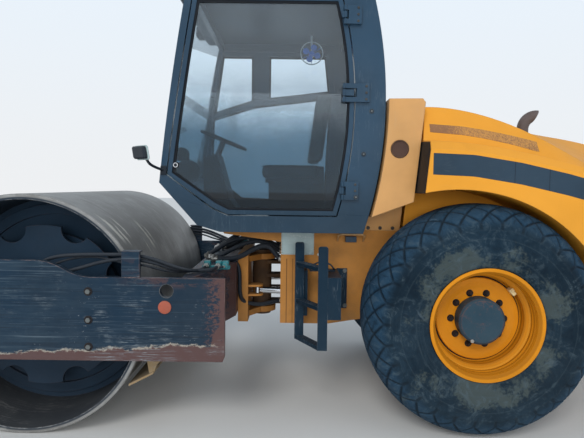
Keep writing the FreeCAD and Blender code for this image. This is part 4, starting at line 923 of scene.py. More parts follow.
def wheel_trim():
    """Nuts, hub plug, valve and a dark ring, painted shadow, in the gap behind the disc's edge, on both
    wheels.
    """
    nuts = []
    for k in range(NUT_COUNT):
        place = round_axle(NUT_RING_R, 2 * math.pi * k / NUT_COUNT, DISC_FACE_Y)
        nuts += hex_bolt(place, Y, 0.030, 0.019)
        nuts.append(button(place, 0.0095, 0.015, 0.033, (0.0015, 0.002), segments=12))
    plug = turned([(0, -0.002), (0.012, -0.002), (0.012, 0.004), (0.010, 0.006), (0.005, 0.006),
                   (0.005, 0.003), (0, 0.003)], (AXLE_X + 0.062, HUB_FACE_Y, AXLE_Z - 0.122), Y, 20)
    valve = round_axle(VALVE_R, VALVE_TURN, DISC_FACE_Y)
    base = button(valve, 0.020, -0.020, 0.004, (0.003, 0.004), segments=20)
    outward = (valve - round_axle(0, 0, DISC_FACE_Y)) / VALVE_R
    across = np.cross(Y, outward)
    stem = [slab(round_rect(0.050, 0.036, 0.008), -0.010, 0.050, 0.005, valve, across, outward, Y),
            button(valve + (0, 0.042, 0), 0.011, 0, 0.028, (0.002, 0.004), 0.55 * Y + 0.8 * across, 14)]
    edge_y = on_side("rim_left", *round_axle(0.2735, 0.3, 0)[[0, 2]], 1)
    # painted shadow: a dark ring set in the gap between the disc's edge and the barrel
    gap = turned([(GAP_LOW_R, edge_y - 0.004), (GAP_HIGH_R, edge_y - 0.004), (GAP_HIGH_R, edge_y + 0.0015),
                  (GAP_LOW_R, edge_y + 0.0015)], round_axle(0, 0, 0), Y, 72, closed=True)
    pair("wheel_nuts", nuts, dark_steel, "wheel")
    pair("hub_plug", [plug], fitting_steel, "wheel")
    pair("tyre_valve_base", [base], valve_red, "wheel")
    pair("rim_gap_shadow", [gap], seal_rubber, "wheel")
    pair("tyre_valve", stem, brass, "wheel")


wheel_trim()


# Side plates: bolts to the drum's carriers, red reflectors, lips of the round holes

DRUM_X = axle_of("drum_shell")[0]
PLATE_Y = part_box("drum_frame")[1].y
CARRIER_BOLT_X = 0.442
CARRIER_BOLT_Z = (0.932, 0.757, 0.591)
REFLECTOR_PLACE = (0.977, PLATE_Y, 0.841)
PORT_PLACE = (0.967, PLATE_Y, 0.940)


def side_plate_trim():
    """Hexagon and washer at each carrier bolt; reflector and hole lip are turned profiles."""
    bolts, washers = [], []
    for x in (DRUM_X - CARRIER_BOLT_X, DRUM_X + CARRIER_BOLT_X):
        for z in CARRIER_BOLT_Z:
            bolts.append(hexagon((x, PLATE_Y, z), Y, 0.0155, 0.002, 0.017, 0.002, both=False))
            washers.append(button((x, PLATE_Y, z), 0.026, -0.002, 0.005))
    reflector = turned([(0, -0.002), (0.040, -0.002), (0.040, 0.0055), (0.036, 0.0075), (0.012, 0.0085),
                        (0, 0.009)], REFLECTOR_PLACE, Y, 40)
    lip = turned([(0.0405, -0.002), (0.0435, -0.002), (0.0435, 0.0008), (0.0428, 0.0018), (0.0412, 0.0008)],
                 PORT_PLACE, Y, 40, closed=True)
    pair("carrier_bolts", bolts, grey_steel, "front_frame")
    pair("carrier_washers", washers, dark_steel, "front_frame")
    pair("reflector", [reflector], reflector_red, "front_frame")
    pair("port_lip", [lip], grey_steel, "front_frame")


side_plate_trim()


# Stripes on the hood's flares and the faded bands, both sides

FLARE_EDGE = np.array([(-0.57, 1.874), (-0.90, 1.862), (-1.19, 1.817), (-1.48, 1.753), (-1.74, 1.684),
                       (-2.13, 1.536), (-2.50, 1.372)])
STRIPE_DROP, STRIPE_DEPTH = 0.072, 0.131
STRIPE_FRONT, STRIPE_TAPER, STRIPE_REAR = -0.648, -2.18, -2.42
BAND_TOP = np.array([(-0.690, 2.006), (-0.900, 1.993), (-1.047, 1.9715), (-1.240, 1.936), (-1.418, 1.896)])
BAND_LOW = np.array([(-0.679, 1.951), (-0.900, 1.934), (-1.039, 1.9133), (-1.220, 1.876), (-1.388, 1.832)])


def films():
    """The stripe on each flare, narrower to the rear, and the faded band above it."""
    xs = np.linspace(STRIPE_FRONT, STRIPE_REAR, 60)
    top = np.interp(-xs, -FLARE_EDGE[:, 0], FLARE_EDGE[:, 1]) - STRIPE_DROP
    taper = np.clip((STRIPE_TAPER - xs) / (STRIPE_TAPER - STRIPE_REAR), 0, 0.97)
    low = top - STRIPE_DEPTH * (1 - taper)
    band_x = np.linspace(-0.686, -1.402, 40)
    high = np.interp(-band_x, -BAND_TOP[:, 0], BAND_TOP[:, 1])
    foot = np.interp(-band_x, -BAND_LOW[:, 0], BAND_LOW[:, 1])
    for label, side in (("left", 1), ("right", -1)):
        stripe = film("hood_shell", xs, low, top, side)
        piece("stripe_" + label, [stripe], stripe_film, "hood")
        band = film("hood_shell", band_x, foot, high, side)
        piece("faded_band_" + label, [band], faded_film, "hood")


films()


# Rubber strips round the panes

def face_loops(name, y):
    """Outlines, in order, of a node's flat faces that lie on the plane at y, as lists of (x, z)."""
    points = mesh_points(nodes[name])
    key = [tuple(np.round(p, 5)) for p in points]
    edges = {}
    for face in nodes[name].data.polygons:
        ids = list(face.vertices)
        if all(abs(points[i][1] - y) < ON_PLANE for i in ids):
            for a, b in zip(ids, ids[1:] + ids[:1]):
                edges[(key[a], key[b])] = True
    follow = {a: b for a, b in edges if (b, a) not in edges}
    loops = []
    while follow:
        start, point = next(iter(follow.items()))
        loop = [start]
        del follow[start]
        while point != start and point in follow:
            loop.append(point)
            point = follow.pop(point)
        loops.append(np.array([(p[0], p[2]) for p in loop]))
    return [loop for loop in loops if len(loop) > 2]


def seals():
    """Strips of rubber along the outlines of the door's pane and the right wall's panes."""
    door_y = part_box("door_glass")[1].y
    for loop in face_loops("door_glass", door_y):
        piece("door_seal", [strip(loop, 0.004, 0.016, door_y - 0.003, door_y + 0.010)], seal_rubber, "door",
              60)
    pane_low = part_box("cab_glass")[0].y
    rings = [strip(loop, 0.003, 0.018, pane_low + 0.003, pane_low - 0.012)
             for loop in face_loops("cab_glass", pane_low)]
    piece("right_window_seals", rings, seal_rubber, "rear_body", 60)


seals()


# Hoses and their fittings

# name, radius, points from the drum's motor to the rear beam
MOTOR_HOSES = [
    ("motor_hose_high", 0.0115, [(1.880, 0.900, 0.860), (1.890, 0.985, 0.900), (1.860, 1.050, 1.000),
                                 (1.770, 1.082, 1.095), (1.660, 1.088, 1.138), (1.500, 1.090, 1.150),
                                 (1.330, 1.090, 1.152), (1.180, 1.090, 1.152), (1.060, 1.088, 1.128),
                                 (0.950, 1.080, 1.085), (0.860, 1.040, 1.052), (0.800, 0.960, 1.038),
                                 (0.780, 0.880, 1.046), (0.776, 0.820, 1.050)]),
    ("motor_hose_low", 0.0115, [(1.800, 0.900, 0.820), (1.800, 0.990, 0.860), (1.750, 1.050, 0.960),
                                (1.640, 1.084, 1.030), (1.500, 1.090, 1.070), (1.370, 1.090, 1.110),
                                (1.260, 1.090, 1.124), (1.160, 1.090, 1.124), (1.040, 1.078, 1.098),
                                (0.940, 1.050, 1.056), (0.850, 0.990, 1.040), (0.730, 0.930, 1.040),
                                (0.700, 0.870, 1.048), (0.700, 0.820, 1.050)]),
    ("drain_hose", 0.0075, [(1.960, 0.900, 0.700), (1.930, 1.000, 0.780), (1.840, 1.070, 0.960),
                            (1.700, 1.086, 1.080), (1.560, 1.064, 1.128), (1.400, 1.072, 1.136),
                            (1.240, 1.092, 1.098), (1.120, 1.088, 1.090), (1.000, 1.060, 1.050),
                            (0.900, 1.010, 1.034), (0.800, 0.900, 1.031), (0.660, 0.840, 1.045),
                            (0.655, 0.790, 1.050)]),
]
# name, radius, points from the rear frame's nose plate, over the joint, to the front frame
JOINT_HOSES = [
    ("joint_hose_outer", 0.019, [(0.262, 0.425, 1.050), (0.300, 0.425, 1.054), (0.332, 0.430, 1.090),
                                 (0.372, 0.436, 1.142), (0.430, 0.440, 1.150), (0.500, 0.440, 1.118),
                                 (0.570, 0.436, 1.072), (0.640, 0.430, 1.046), (0.720, 0.424, 1.044),
                                 (0.800, 0.420, 1.044)]),
    ("joint_hose_inner", 0.017, [(0.262, 0.350, 1.095), (0.300, 0.352, 1.099), (0.345, 0.356, 1.128),
                                 (0.410, 0.360, 1.168), (0.490, 0.362, 1.176), (0.580, 0.360, 1.150),
                                 (0.670, 0.356, 1.100), (0.750, 0.350, 1.056), (0.830, 0.340, 1.041)]),
    ("joint_hose_middle", 0.017, [(0.262, 0.275, 1.120), (0.300, 0.276, 1.124), (0.370, 0.280, 1.156),
                                  (0.470, 0.284, 1.190), (0.580, 0.288, 1.192), (0.690, 0.288, 1.160),
                                  (0.780, 0.284, 1.100), (0.845, 0.280, 1.056), (0.860, 0.270, 1.036)]),
    ("joint_hose_low", 0.015, [(0.262, 0.210, 0.700), (0.300, 0.212, 0.700), (0.370, 0.240, 0.684),
                               (0.440, 0.280, 0.676), (0.520, 0.316, 0.690), (0.580, 0.350, 0.720),
                               (0.594, 0.390, 0.780), (0.594, 0.410, 0.860), (0.594, 0.414, 0.940),
                               (0.610, 0.414, 1.010), (0.660, 0.410, 1.042), (0.720, 0.400, 1.038)]),
]
FERRULE_LENGTH = 0.045
BEAM_TOP = 1.022


def ferrule(path, radius):
    """Steel sleeve and hexagon where a hose begins."""
    axis = (path[1] - path[0]) / np.linalg.norm(path[1] - path[0])
    return [button(path[0], radius * 1.25, 0, FERRULE_LENGTH, (radius * 0.13, 0.002), axis, 16),
            hexagon(path[0], axis, radius * 1.75, 0.0, 0.018, 0.0015)]


def add_hoses():
    """Hoses held at both ends on both sides; those over the centre joint ride no body, their ends ride the
    two bodies.
    """
    ends, rear_ends, front_ends = [], [], []
    for name, radius, points in MOTOR_HOSES:
        path = smooth_path(points)
        ends += ferrule(path, radius) + ferrule(path[::-1], radius)
        pair(name, [tube(path, radius, 12)], hose_rubber, "front_frame", 60)
    pair("motor_hose_ends", ends, fitting_steel, "front_frame")
    for name, radius, points in JOINT_HOSES:
        path = smooth_path(points)
        rear_ends += ferrule(path, radius)
        front_ends += ferrule(path[::-1], radius)
        for hose in pair(name, [tube(path, radius, 14)], hose_rubber, None, 60):
            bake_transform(hose)
    pair("joint_hose_rear_ends", rear_ends, fitting_steel, "rear_body")
    pair("joint_hose_front_ends", front_ends, fitting_steel, "front_frame")


def add_valve_blocks():
    """Teal valve blocks on the rear beam that the motor hoses come to."""
    grids = []
    for x in (0.776, 0.700, 0.655):
        grids.append(block((x - 0.021, 0.735, BEAM_TOP - 0.001), (x + 0.021, 0.790, BEAM_TOP + 0.056), 0.006))
        grids.append(hexagon((x, 0.786, 1.050), Y, 0.021, 0.0, 0.026, 0.002))
        grids.append(turned([(0, 0), (0.0155, 0), (0.0155, 0.012), (0, 0.012)], (x, 0.812, 1.050), Y, 20))
    grids.append(block((0.625, 0.742, BEAM_TOP - 0.001), (0.812, 0.783, BEAM_TOP + 0.024), 0.004))
    pair("valve_blocks", grids, teal_paint, "front_frame")


add_hoses()
add_valve_blocks()


# Door lock and latch, hinge screws, fasteners on the cab and the tank cover

LOCK_X, LOCK_Z = 0.986, 1.716
HANDLE_X, HANDLE_Z = 0.915, 1.674
HANDLE_LEAN = np.array([-0.80, 0.0, -0.60])


def cab_trim():
    """Lock on the outside of the door, latch and round handle on its inside."""
    door_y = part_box("door_frame")[0].y + 0.038
    lock = (LOCK_X, door_y, LOCK_Z)
    ring = turned([(0.010, -0.004), (0.017, -0.004), (0.017, 0.006), (0.0155, 0.008), (0.011, 0.008)],
                  lock, Y, 32, closed=True)
    piece("door_lock_ring", [ring], chrome, "door")
    core = turned([(0, -0.003), (0.0108, -0.003), (0.0108, 0.0045), (0.009, 0.006), (0, 0.0055)], lock, Y, 24)
    slot_cut = slab(round_rect(0.0025, 0.011, 0.001, 3), 0.0050, 0.0075, 0.0004, lock, X, Z, Y)
    piece("door_lock_core", [core, slot_cut], black_plastic, "door")
    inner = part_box("door_glass")[0].y
    arch = np.linspace(0, math.pi, 13)
    dome = np.concatenate([[(-0.052, -0.048)], [(0.052, -0.048)],
                           np.stack([0.052 * np.cos(arch), 0.040 * np.sin(arch)], -1)])
    latch = slab(dome, 0.001, 0.042, 0.006, (0.957, inner, 1.795), X, Z, -Y)
    ring_turn = np.linspace(0, 2 * math.pi, 40, endpoint=False)
    rim = np.stack([HANDLE_X + 0.080 * np.cos(ring_turn), inner - 0.020 + 0 * ring_turn,
                    HANDLE_Z + 0.072 * np.sin(ring_turn)], -1)
    hoop = tube(np.concatenate([rim, rim[:1]]), 0.0085, 10, capped=False)
    dish = slab(np.stack([0.078 * np.cos(ring_turn), 0.070 * np.sin(ring_turn)], -1), 0.012, 0.022, 0.004,
                (HANDLE_X, inner, HANDLE_Z), X, Z, -Y)
    lever = slab(round_rect(0.160, 0.034, 0.014), 0.024, 0.040, 0.005, (0.918, inner, 1.676), HANDLE_LEAN,
                 np.cross(HANDLE_LEAN, Y), -Y)
    post = turned([(0, 0.0), (0.016, 0.0), (0.016, 0.024), (0, 0.024)], (0.982, inner, 1.722), -Y, 20)
    piece("door_latch", [latch, dish, post], black_plastic, "door")
    piece("door_handle", [hoop, lever], hub_paint, "door")


HINGE_Z = (1.560, 2.200, 2.700)
HINGE_BASE_Y, HINGE_BASE_REACH, HINGE_BASE_HALF = 0.826, 0.065, 0.022
WASHER_PLACES = ((-0.3047, 2.085), (-0.2572, 1.803), (-0.2081, 1.5188))
COVER_BOLT_PLACES = ((-0.338, 1.293), (-0.424, 1.293), (-0.514, 1.293))


def on_hinge_base(z):
    """x in the middle of a hinge's base plate at height z: where the cab frame reaches out furthest."""
    points = mesh_points(nodes["cab_frame"])
    outer = points[(points[:, 1] > HINGE_BASE_Y) & (np.abs(points[:, 2] - z) < HINGE_BASE_REACH)]
    return float(outer[:, 0].min() + HINGE_BASE_HALF) if len(outer) else None


def fasteners():
    """Screws on the hinges' base plates, washers and bolts on the cab's rear edge and the tank cover."""
    hinge_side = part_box("cab_frame")[1].y
    screws, washers, bolts, cover_bolts = [], [], [], []
    for z in (middle + dz for middle in HINGE_Z for dz in (-0.042, 0.0, 0.042)):
        x = on_hinge_base(z)
        if x is not None:
            screws.append(cap_screw((x, hinge_side - 0.006, z), Y, 0.008, 0.006))
    for x, z in WASHER_PLACES:
        place = (x, on_side("cab_frame", x, z, 1), z)
        washers.append(button(place, 0.016, -0.002, 0.0045, (0.002, 0.0015)))
        bolts.append(button(place, 0.0062, 0.003, 0.0095, (0.0014, 0.001), segments=16))
    for x, z in COVER_BOLT_PLACES:
        cover_bolts += hex_bolt((x, on_side("tank_cover", x, z, 1), z), Y, 0.017, 0.009)
    piece("hinge_screws", screws, bolt_steel, "rear_body")
    pair("cab_washers", washers, washer_blue, "rear_body")
    pair("cab_bolts", bolts, grey_steel, "rear_body")
    pair("cover_bolts", cover_bolts, bolt_steel, "rear_body")


def tank_plug():
    """Shallow cup turned about the side direction, sunk 8 mm into the tank's cover."""
    place = (-0.487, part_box("tank_cover")[1].y - 0.008, 1.836)
    cup = turned([(0, -0.001), (0.0585, -0.001), (0.0585, 0.009), (0.0560, 0.0125), (0.052, 0.0125),
                  (0.049, 0.006), (0.030, 0.0045), (0, 0.0045)], place, Y, 48)
    pair("tank_plug", [cup], plug_finish, "rear_body")


cab_trim()
fasteners()
tank_plug()


# Blank plate, ladder grips, mirrors and lamp lenses

# x and z of the plate's corners
PLATE_LOW, PLATE_HIGH = (0.050, 1.092), (0.286, 1.266)
PLATE_BORDER = 0.012
TREADS, TREAD_STEP, STUD_ROWS = 3, 0.261, 10


def frame_plate():
    """Blank metal plate with a pressed border and four rivets on the rear frame's left side."""
    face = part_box("rear_frame")[1].y
    mid = ((PLATE_LOW[0] + PLATE_HIGH[0]) / 2, face, (PLATE_LOW[1] + PLATE_HIGH[1]) / 2)
    w, h = PLATE_HIGH[0] - PLATE_LOW[0], PLATE_HIGH[1] - PLATE_LOW[1]
    sheet_grid = slab(round_rect(w, h, 0.006), -0.001, 0.0025, 0.0006, mid, X, Z, Y)
    border = round_rect(w - PLATE_BORDER, h - PLATE_BORDER, 0.004) + (mid[0], mid[2])
    border = strip(border, 0.0015, 0.0015, face + 0.002, face + 0.0042)
    piece("frame_plate", [sheet_grid, border], plate_metal, "rear_body")
    rivets = [turned([(0, 0), (0.004, 0), (0.0035, 0.0025), (0.002, 0.0035), (0, 0.0038)],
                     (mid[0] + sx * (w / 2 - PLATE_BORDER), face + 0.002,
                      mid[2] + sz * (h / 2 - PLATE_BORDER)), Y, 12)
              for sx in (-1, 1) for sz in (-1, 1)]
    piece("frame_plate_rivets", rivets, fitting_steel, "rear_body")


def ladder_hardware():
    """Bolts on the ladder's bracket, the stud on its near post, and a bent wire under the plate."""
    bolts = hex_bolt((-0.1747, 0.514, 0.9808), Y, 0.020, 0.011)
    bolts += hex_bolt((-0.1794, 0.514, 0.7289), Y, 0.020, 0.011)
    piece("bracket_bolts", bolts, grey_steel, "rear_body")
    stud = button((0.035, 0.896, 1.144), 0.0085, -0.002, 0.008, segments=16)
    piece("ladder_stud", [stud], fitting_steel, "rear_body")
    wire = [(0.080, 0.496, 0.995), (0.080, 0.620, 0.995), (0.046, 0.620, 1.057), (-0.058, 0.620, 1.054),
            (-0.096, 0.620, 0.997), (-0.096, 0.496, 0.997)]
    bar = [(0.080, 0.620, 0.995), (0.0, 0.620, 0.996), (-0.096, 0.620, 0.997)]
    piece("ladder_wire", [tube(smooth_path(wire, 3), 0.0055, 8), tube(bar, 0.0055, 8)], step_paint,
          "rear_body")


def ladder_grips():
    """Rows of raised studs on the ladder's treads, which slant from the far post to the near one."""
    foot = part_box("ladder")[0].z
    grids = []
    for z in (foot + 0.026 + TREAD_STEP * k for k in range(TREADS)):
        for i in range(STUD_ROWS):
            share = (i + 0.5) / STUD_ROWS
            mid = (0.153 - 0.150 * (0.045 + 0.910 * share), 0.633 + 0.255 * share)
            for dx in (-0.020, 0.0, 0.020):
                grids.append(turned([(0, -0.001), (0.0065, -0.001), (0.0048, 0.0032), (0, 0.0036)],
                                    (mid[0] + dx, mid[1], z), Z, 8))
    piece("ladder_grips", grids, step_paint, "rear_body")


def mirrors():
    """Heads turned in by 45 degrees on a ball and a short rod; the glass looks back and in."""
    out = np.array([0.7071, 0.7071, 0.0])
    along = np.array([0.7071, -0.7071, 0.0])
    up = 0.955 * Z + 0.297 * along
    head = np.array([1.180, 0.950, 1.787])
    heads = [slab(round_rect(0.140, 0.085, 0.014), -0.012, 0.018, 0.008, head, along, up, out)]
    rims = [slab(round_rect(0.154, 0.098, 0.018), -0.020, -0.010, 0.003, head, along, up, out)]
    face = [slab(round_rect(0.140, 0.084, 0.012), -0.0215, -0.019, 0.0006, head, along, up, out)]
    ball_turn = np.linspace(-math.pi / 2, math.pi / 2, 12)
    ball = np.array([1.142, 0.940, 1.752])
    sphere = turned(np.stack([0.015 * np.cos(ball_turn), 0.015 * np.sin(ball_turn)], -1), ball, Z, 20)
    bend = smooth_path([ball, (1.134, 0.920, 1.722), (1.110, 0.870, 1.700), (1.064, 0.804, 1.680)])
    rod = tube(bend, 0.009, 12)
    link = tube(np.stack([ball, head - 0.006 * out + (-0.014, 0, -0.020)]), 0.008, 12)
    foot = slab(round_rect(0.038, 0.060, 0.006), 0.0, 0.014, 0.002, (1.065, 0.800, 1.680), X, Z, Y)
    for name, grids, material, slot, stands_for in (
            ("mirror_heads", heads, black_plastic, "black_plastic", ("mirrors",)),
            ("mirror_rims", rims, plate_metal, "rod_chrome", ()),
            ("mirror_glass", face, mirror_face, "rod_chrome", ()),
            ("mirror_balls", [sphere], fitting_steel, "rod_chrome", ()),
            ("mirror_arms", [rod, link, foot], black_plastic, "black_plastic", ("mirrors",))):
        piece(name, grids + mirrored_grids(grids), material, "rear_body", 35.0, stands_for)


def exhaust():
    """Pipe that rises, bends to the rear and is cut off by a slanting plane.

    On the bend a point is C + (R + r cos s)(cos t, sin t), with r sin s to the side; t ends at the cut.
    """
    bend, centre_x, centre_z, y = 0.110, -1.800, 2.082, -0.150
    foot_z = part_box("exhaust_tail")[0].z
    cut_point, cut_normal = np.array([-1.733, 2.068]), np.array([0.904, 0.427])
    s = np.linspace(0, 2 * math.pi, 40, endpoint=False)
    t = np.linspace(0, math.pi * 0.62, 400)
    shells = []
    for radius in (0.046, 0.0405):
        reach = bend + radius * np.cos(s)
        x = centre_x + reach[:, None] * np.cos(t)
        z = centre_z + reach[:, None] * np.sin(t)
        kept = (x - cut_point[0]) * cut_normal[0] + (z - cut_point[1]) * cut_normal[1] > 0
        last = np.where(kept.all(1), len(t) - 1, np.argmin(kept, 1))
        ends = t[last]
        share = np.linspace(0, 1, 18)[:, None]
        turn = share * ends
        rise = np.linspace(foot_z, centre_z, 6)[:-1, None] + 0 * s
        rows_x = np.concatenate([centre_x + reach + 0 * rise, centre_x + reach * np.cos(turn)])
        rows_z = np.concatenate([rise, centre_z + reach * np.sin(turn)])
        rows_y = y + radius * np.sin(s) + 0 * rows_x
        shells.append(np.stack([rows_x, rows_y, rows_z], -1))
    grid = np.concatenate([shells[0], shells[1][::-1]])
    piece("exhaust_elbow", [(grid, True, True)], exhaust_finish, "hood", 35.0, ["exhaust_tail"])


def dark_flare_facings():
    """Dark facing on the front end of each flare, where it meets the tank cover: its outline on the leaning
    end face.
    """
    outline = [(0.790, 1.550), (1.082, 1.550), (1.082, 1.821), (1.040, 1.869), (0.862, 1.885), (0.790, 1.885)]
    lean = 0.0972
    origin = (-0.606 + lean * 1.56, 0.0, 0.0)
    facing = slab(outline, 0.0005, 0.006, 0.0015, origin, Y, Z - lean * X, X)
    piece("dark_flare_facings", [facing] + mirrored_grids([facing]), seal_rubber, "hood")


def lenses():
    """Rounded plates on the lamps' faces, and a rim along the outline of each tail lamp."""
    low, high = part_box("work_lamps")
    front, rear = [], []
    for side in (1, -1):
        front.append(slab(round_rect(0.134, 0.064, 0.010), -0.001, 0.004, 0.0015, (high.x, side * 0.6, 2.950),
                          Y, Z, X))
        rear.append(slab(round_rect(0.124, 0.059, 0.010), -0.001, 0.004, 0.0015, (low.x, side * 0.6, 2.9475),
                         Y, Z, -X))
    piece("work_lamp_lenses", front + rear, lamp_lens, "rear_body")
    low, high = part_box("tail_lamps")
    tails, rims = [], []
    for side in (1, -1):
        middle = (low.x, side * 0.680, (low.z + high.z) / 2)
        tails.append(slab(round_rect(0.146, 0.066, 0.008), -0.001, 0.005, 0.002, middle, Y, Z, -X))
        outline = np.array([(side * 0.680 + a, middle[2] + b) for a, b in round_rect(0.156, 0.076, 0.010)])
        ring, close_rows, close_cols = strip(outline, 0.003, 0.004, 0.0, 0.007)
        ring = np.stack([low.x - ring[..., 1], ring[..., 0], ring[..., 2]], -1)
        rims.append((ring, close_rows, close_cols))
    piece("tail_lamp_lenses", tails, lamp_red, "hood")
    piece("tail_lamp_rims", rims, black_plastic, "hood")


frame_plate()
ladder_grips()
ladder_hardware()
mirrors()
exhaust()
dark_flare_facings()
lenses()


# Seat: two cushions swelled as cloth, then their sewn channels and piping

SEAT_VOXEL = 0.008
SEAT_PRESSURE = 4.0
SEAT_RISE = 0.012
BASE_HALF, BACK_HALF = 0.223, 0.215


def swelled(name, low, high):
    """Closed block between the corners, blown up as cloth by at most SEAT_RISE."""
    low, high = np.asarray(low, float), np.asarray(high, float)
    shape = round_rect(high[0] - low[0], high[1] - low[1], 0.03, 4)
    mid = (low + high) / 2
    grid, close_rows, close_cols = slab(shape, low[2], high[2], 0.015, (mid[0], mid[1], 0), X, Y, Z)
    faces = grid_faces(*grid.shape[:2], close_rows, close_cols)
    obj = in_scene(name, closed_mesh(name, grid.reshape(-1, 3), faces, 1e-5))
    remesh = obj.modifiers.new("remesh", "REMESH")
    remesh.mode = "VOXEL"
    remesh.voxel_size = SEAT_VOXEL
    applied(obj)
    rest = mesh_points(obj)
    cloth = obj.modifiers.new("cloth", "CLOTH")
    cloth.settings.use_pressure = True
    cloth.settings.uniform_pressure_force = SEAT_PRESSURE
    cloth.settings.effector_weights.gravity = 0.0
    for frame_number in range(1, 21):
        bpy.context.scene.frame_set(frame_number)
    applied(obj)
    bpy.context.scene.frame_set(1)
    moved = mesh_points(obj) - rest
    length = np.linalg.norm(moved, axis=1)[:, None]
    points = rest + moved * np.minimum(1.0, SEAT_RISE / np.maximum(length, 1e-9))
    obj.data.vertices.foreach_set("co", points.ravel())
    smooth = obj.modifiers.new("smooth", "SUBSURF")
    smooth.levels = 1
    applied(obj)
    return obj, mesh_points(obj)


def applied(obj):
    """The object's mesh becomes what its modifiers make of it."""
    bpy.context.view_layer.update()
    depsgraph = bpy.context.evaluated_depsgraph_get()
    made = bpy.data.meshes.new_from_object(obj.evaluated_get(depsgraph))
    obj.modifiers.clear()
    obj.data = made


def channels(place, lines, width, across, reach, side_line):
    """Depth, from 0 to 1, of sewn lines over the middle of a cushion and along both sides of it."""
    seams = sum(np.exp(-((place - line) / width) ** 2) for line in lines)
    return seams * (across < reach) + np.exp(-((across - side_line) / 0.008) ** 2)


def seat():
    """Base and back: sewn channels are sunk and the side rolls raised on the face that is sat on."""
    base, points = swelled("seat_base_cushion", (0.0, -BASE_HALF, 1.652), (0.458, BASE_HALF, 1.732))
    across = np.abs(points[:, 1])
    top = ramp(points[:, 2], 1.70, 1.735)
    points[:, 2] -= 0.009 * channels(points[:, 0], (0.150, 0.250, 0.350), 0.007, across, 0.135, 0.150) * top
    points[:, 2] += 0.010 * ramp(across, 0.16, 0.20) * top
    dress(base, points)
    back, points = swelled("seat_back_cushion", (0.0, -BACK_HALF, 1.762), (0.085, BACK_HALF, 2.315))
    across = np.abs(points[:, 1])
    front = ramp(points[:, 0], 0.055, 0.088)
    lines = (1.88, 1.98, 2.08, 2.18)
    points[:, 0] -= 0.009 * channels(points[:, 2], lines, 0.008, across, 0.130, 0.145) * front
    points[:, 0] += 0.010 * ramp(across, 0.155, 0.19) * front
    points[:, 1] *= 1.0 - 0.14 * ramp(points[:, 2], 2.12, 2.33)
    points[:, 0] -= 0.128 * (points[:, 2] - 1.7453)
    dress(back, points)
    piping = [tube(smooth_path([(0.02, s * 0.214, 1.742), (0.20, s * 0.226, 1.744), (0.38, s * 0.224, 1.742),
                                (0.452, s * 0.20, 1.736)], 6), 0.004, 8) for s in (-1, 1)]
    piece("seat_piping", piping, seal_rubber, "rear_body", 60)


def dress(obj, points):
    """The cushion gets its points, cloth and place in the model."""
    obj.data.vertices.foreach_set("co", points.ravel())
    obj.data.polygons.foreach_set("use_smooth", [True] * len(obj.data.polygons))
    obj.data.materials.clear()
    obj.data.materials.append(seat_cloth)
    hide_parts("seat_cushions")
    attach(obj, "rear_body")


def woven(g, coords, shade):
    """Worn blue-black seat cloth: threads both ways."""
    warp = g.drawn(coords, (700.0, 90.0, 700.0), 2.0, 0.5)
    weft = g.drawn(coords, (90.0, 700.0, 90.0), 2.0, 0.5)
    threads = g.plus(g.span(warp, 0.4, 0.6, 0.0, 0.5), g.span(weft, 0.4, 0.6, 0.0, 0.5))
    return g.toned(shade, (0.070, 0.075, 0.085), threads, 0.5)


seat_cloth = finish("seat_cloth", (0.030, 0.034, 0.042), 0.85, dusty=0.25, dust=(0.16, 0.15, 0.14),
                    grain_size=420.0, grain_depth=0.0007, special=woven)
seat()


# Camera at the photograph's view, studio light and floor

CAMERA_PLACE = (0.2025, 4.4457, 1.5872)
CAMERA_PITCH, CAMERA_YAW, CAMERA_ROLL = 0.060103, 0.00223, 0.01272
FOCAL_PIXELS, FRAME_WIDTH = 548.41, 584


def add_camera():
    """Looks along -Y; pitch, yaw and roll were fitted to the wheel's rim and the machine's lines."""
    facing = Matrix(((-1, 0, 0), (0, 0, -1), (0, -1, 0)))
    yaw = Matrix.Rotation(CAMERA_YAW, 3, "Y")
    pitch = Matrix.Rotation(CAMERA_PITCH, 3, "X")
    roll = Matrix.Rotation(CAMERA_ROLL, 3, "Z")
    right, down, ahead = roll @ pitch @ yaw @ facing
    lens = bpy.data.cameras.new("camera")
    lens.sensor_width = 36.0
    lens.lens = FOCAL_PIXELS / FRAME_WIDTH * lens.sensor_width
    camera = in_scene("camera", lens)
    turn = Matrix((right, -down, -ahead)).transposed()
    camera.matrix_world = Matrix.Translation(CAMERA_PLACE) @ turn.to_4x4()
    bpy.context.scene.camera = camera


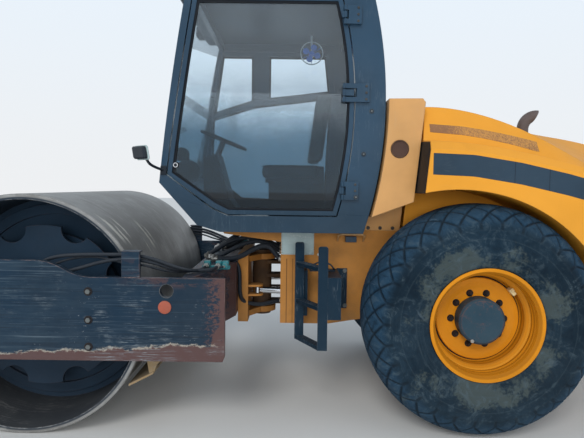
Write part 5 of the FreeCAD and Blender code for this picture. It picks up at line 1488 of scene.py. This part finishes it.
def seen_directly(g):
    """1 for rays from the camera, mirrors and glass, 0 for the light that falls on the object."""
    path = g.add("LightPath").outputs
    seen = g.plus(path["Is Camera Ray"], path["Is Glossy Ray"])
    return g.plus(seen, path["Is Transmission Ray"], clamp=True)


def add_world():
    """Even sky, brighter where it is seen than where it lights."""
    world = bpy.data.worlds.new("studio")
    world.use_nodes = True
    bpy.context.scene.world = world
    g = Graph(world.node_tree)
    height = g.parts(g.add("TexCoord").outputs["Generated"])[2]
    sky = g.mix(g.span(height, -0.1, 0.5), rgba((0.86, 0.87, 0.88)), rgba((0.80, 0.90, 1.0)))
    strength = g.plus(g.times(seen_directly(g), 0.40), 0.60)
    g.feed(world.node_tree.nodes["Background"], {"Color": sky, "Strength": strength})


def add_lamp(kind, name, place, target, power, colour, **size):
    """Lamp at a place, aimed at a target, left out of what glossy surfaces mirror."""
    lamp = bpy.data.lights.new(name, kind)
    lamp.energy = power
    lamp.color = colour
    for key, value in size.items():
        setattr(lamp, key, value)
    holder = in_scene(name, lamp)
    holder.location = place
    holder.visible_glossy = False
    holder.rotation_euler = (Vector(target) - Vector(place)).to_track_quat("-Z", "Y").to_euler()


FLOOR_REACH = 60.0


def add_floor():
    """Flat square under the object; the stage, not a piece."""
    mesh = bpy.data.meshes.new("floor")
    corners = [(-FLOOR_REACH, -FLOOR_REACH, 0), (FLOOR_REACH, -FLOOR_REACH, 0), (FLOOR_REACH, FLOOR_REACH, 0),
               (-FLOOR_REACH, FLOOR_REACH, 0)]
    mesh.from_pydata(corners, [], [(0, 1, 2, 3)])
    floor = in_scene("floor", mesh)
    material, g, shader = new_material("floor_paint")
    g.feed(shader, {"Base Color": rgba((0.78, 0.78, 0.77)), "Roughness": 0.9})
    mesh.materials.append(material)


add_camera()
add_world()
add_lamp("SUN", "sun", (2.5, 8.0, 7.0), (0, 0, 1.0), 1.15, (1.0, 0.98, 0.94), angle=math.radians(22))
add_lamp("AREA", "low_fill", (0.0, 10.5, 2.6), (0, 0, 1.1), 300.0, (1.0, 0.99, 0.97), shape="RECTANGLE",
         size=8.0, size_y=2.4)
add_floor()
bpy.context.scene.view_settings.view_transform = "Standard"
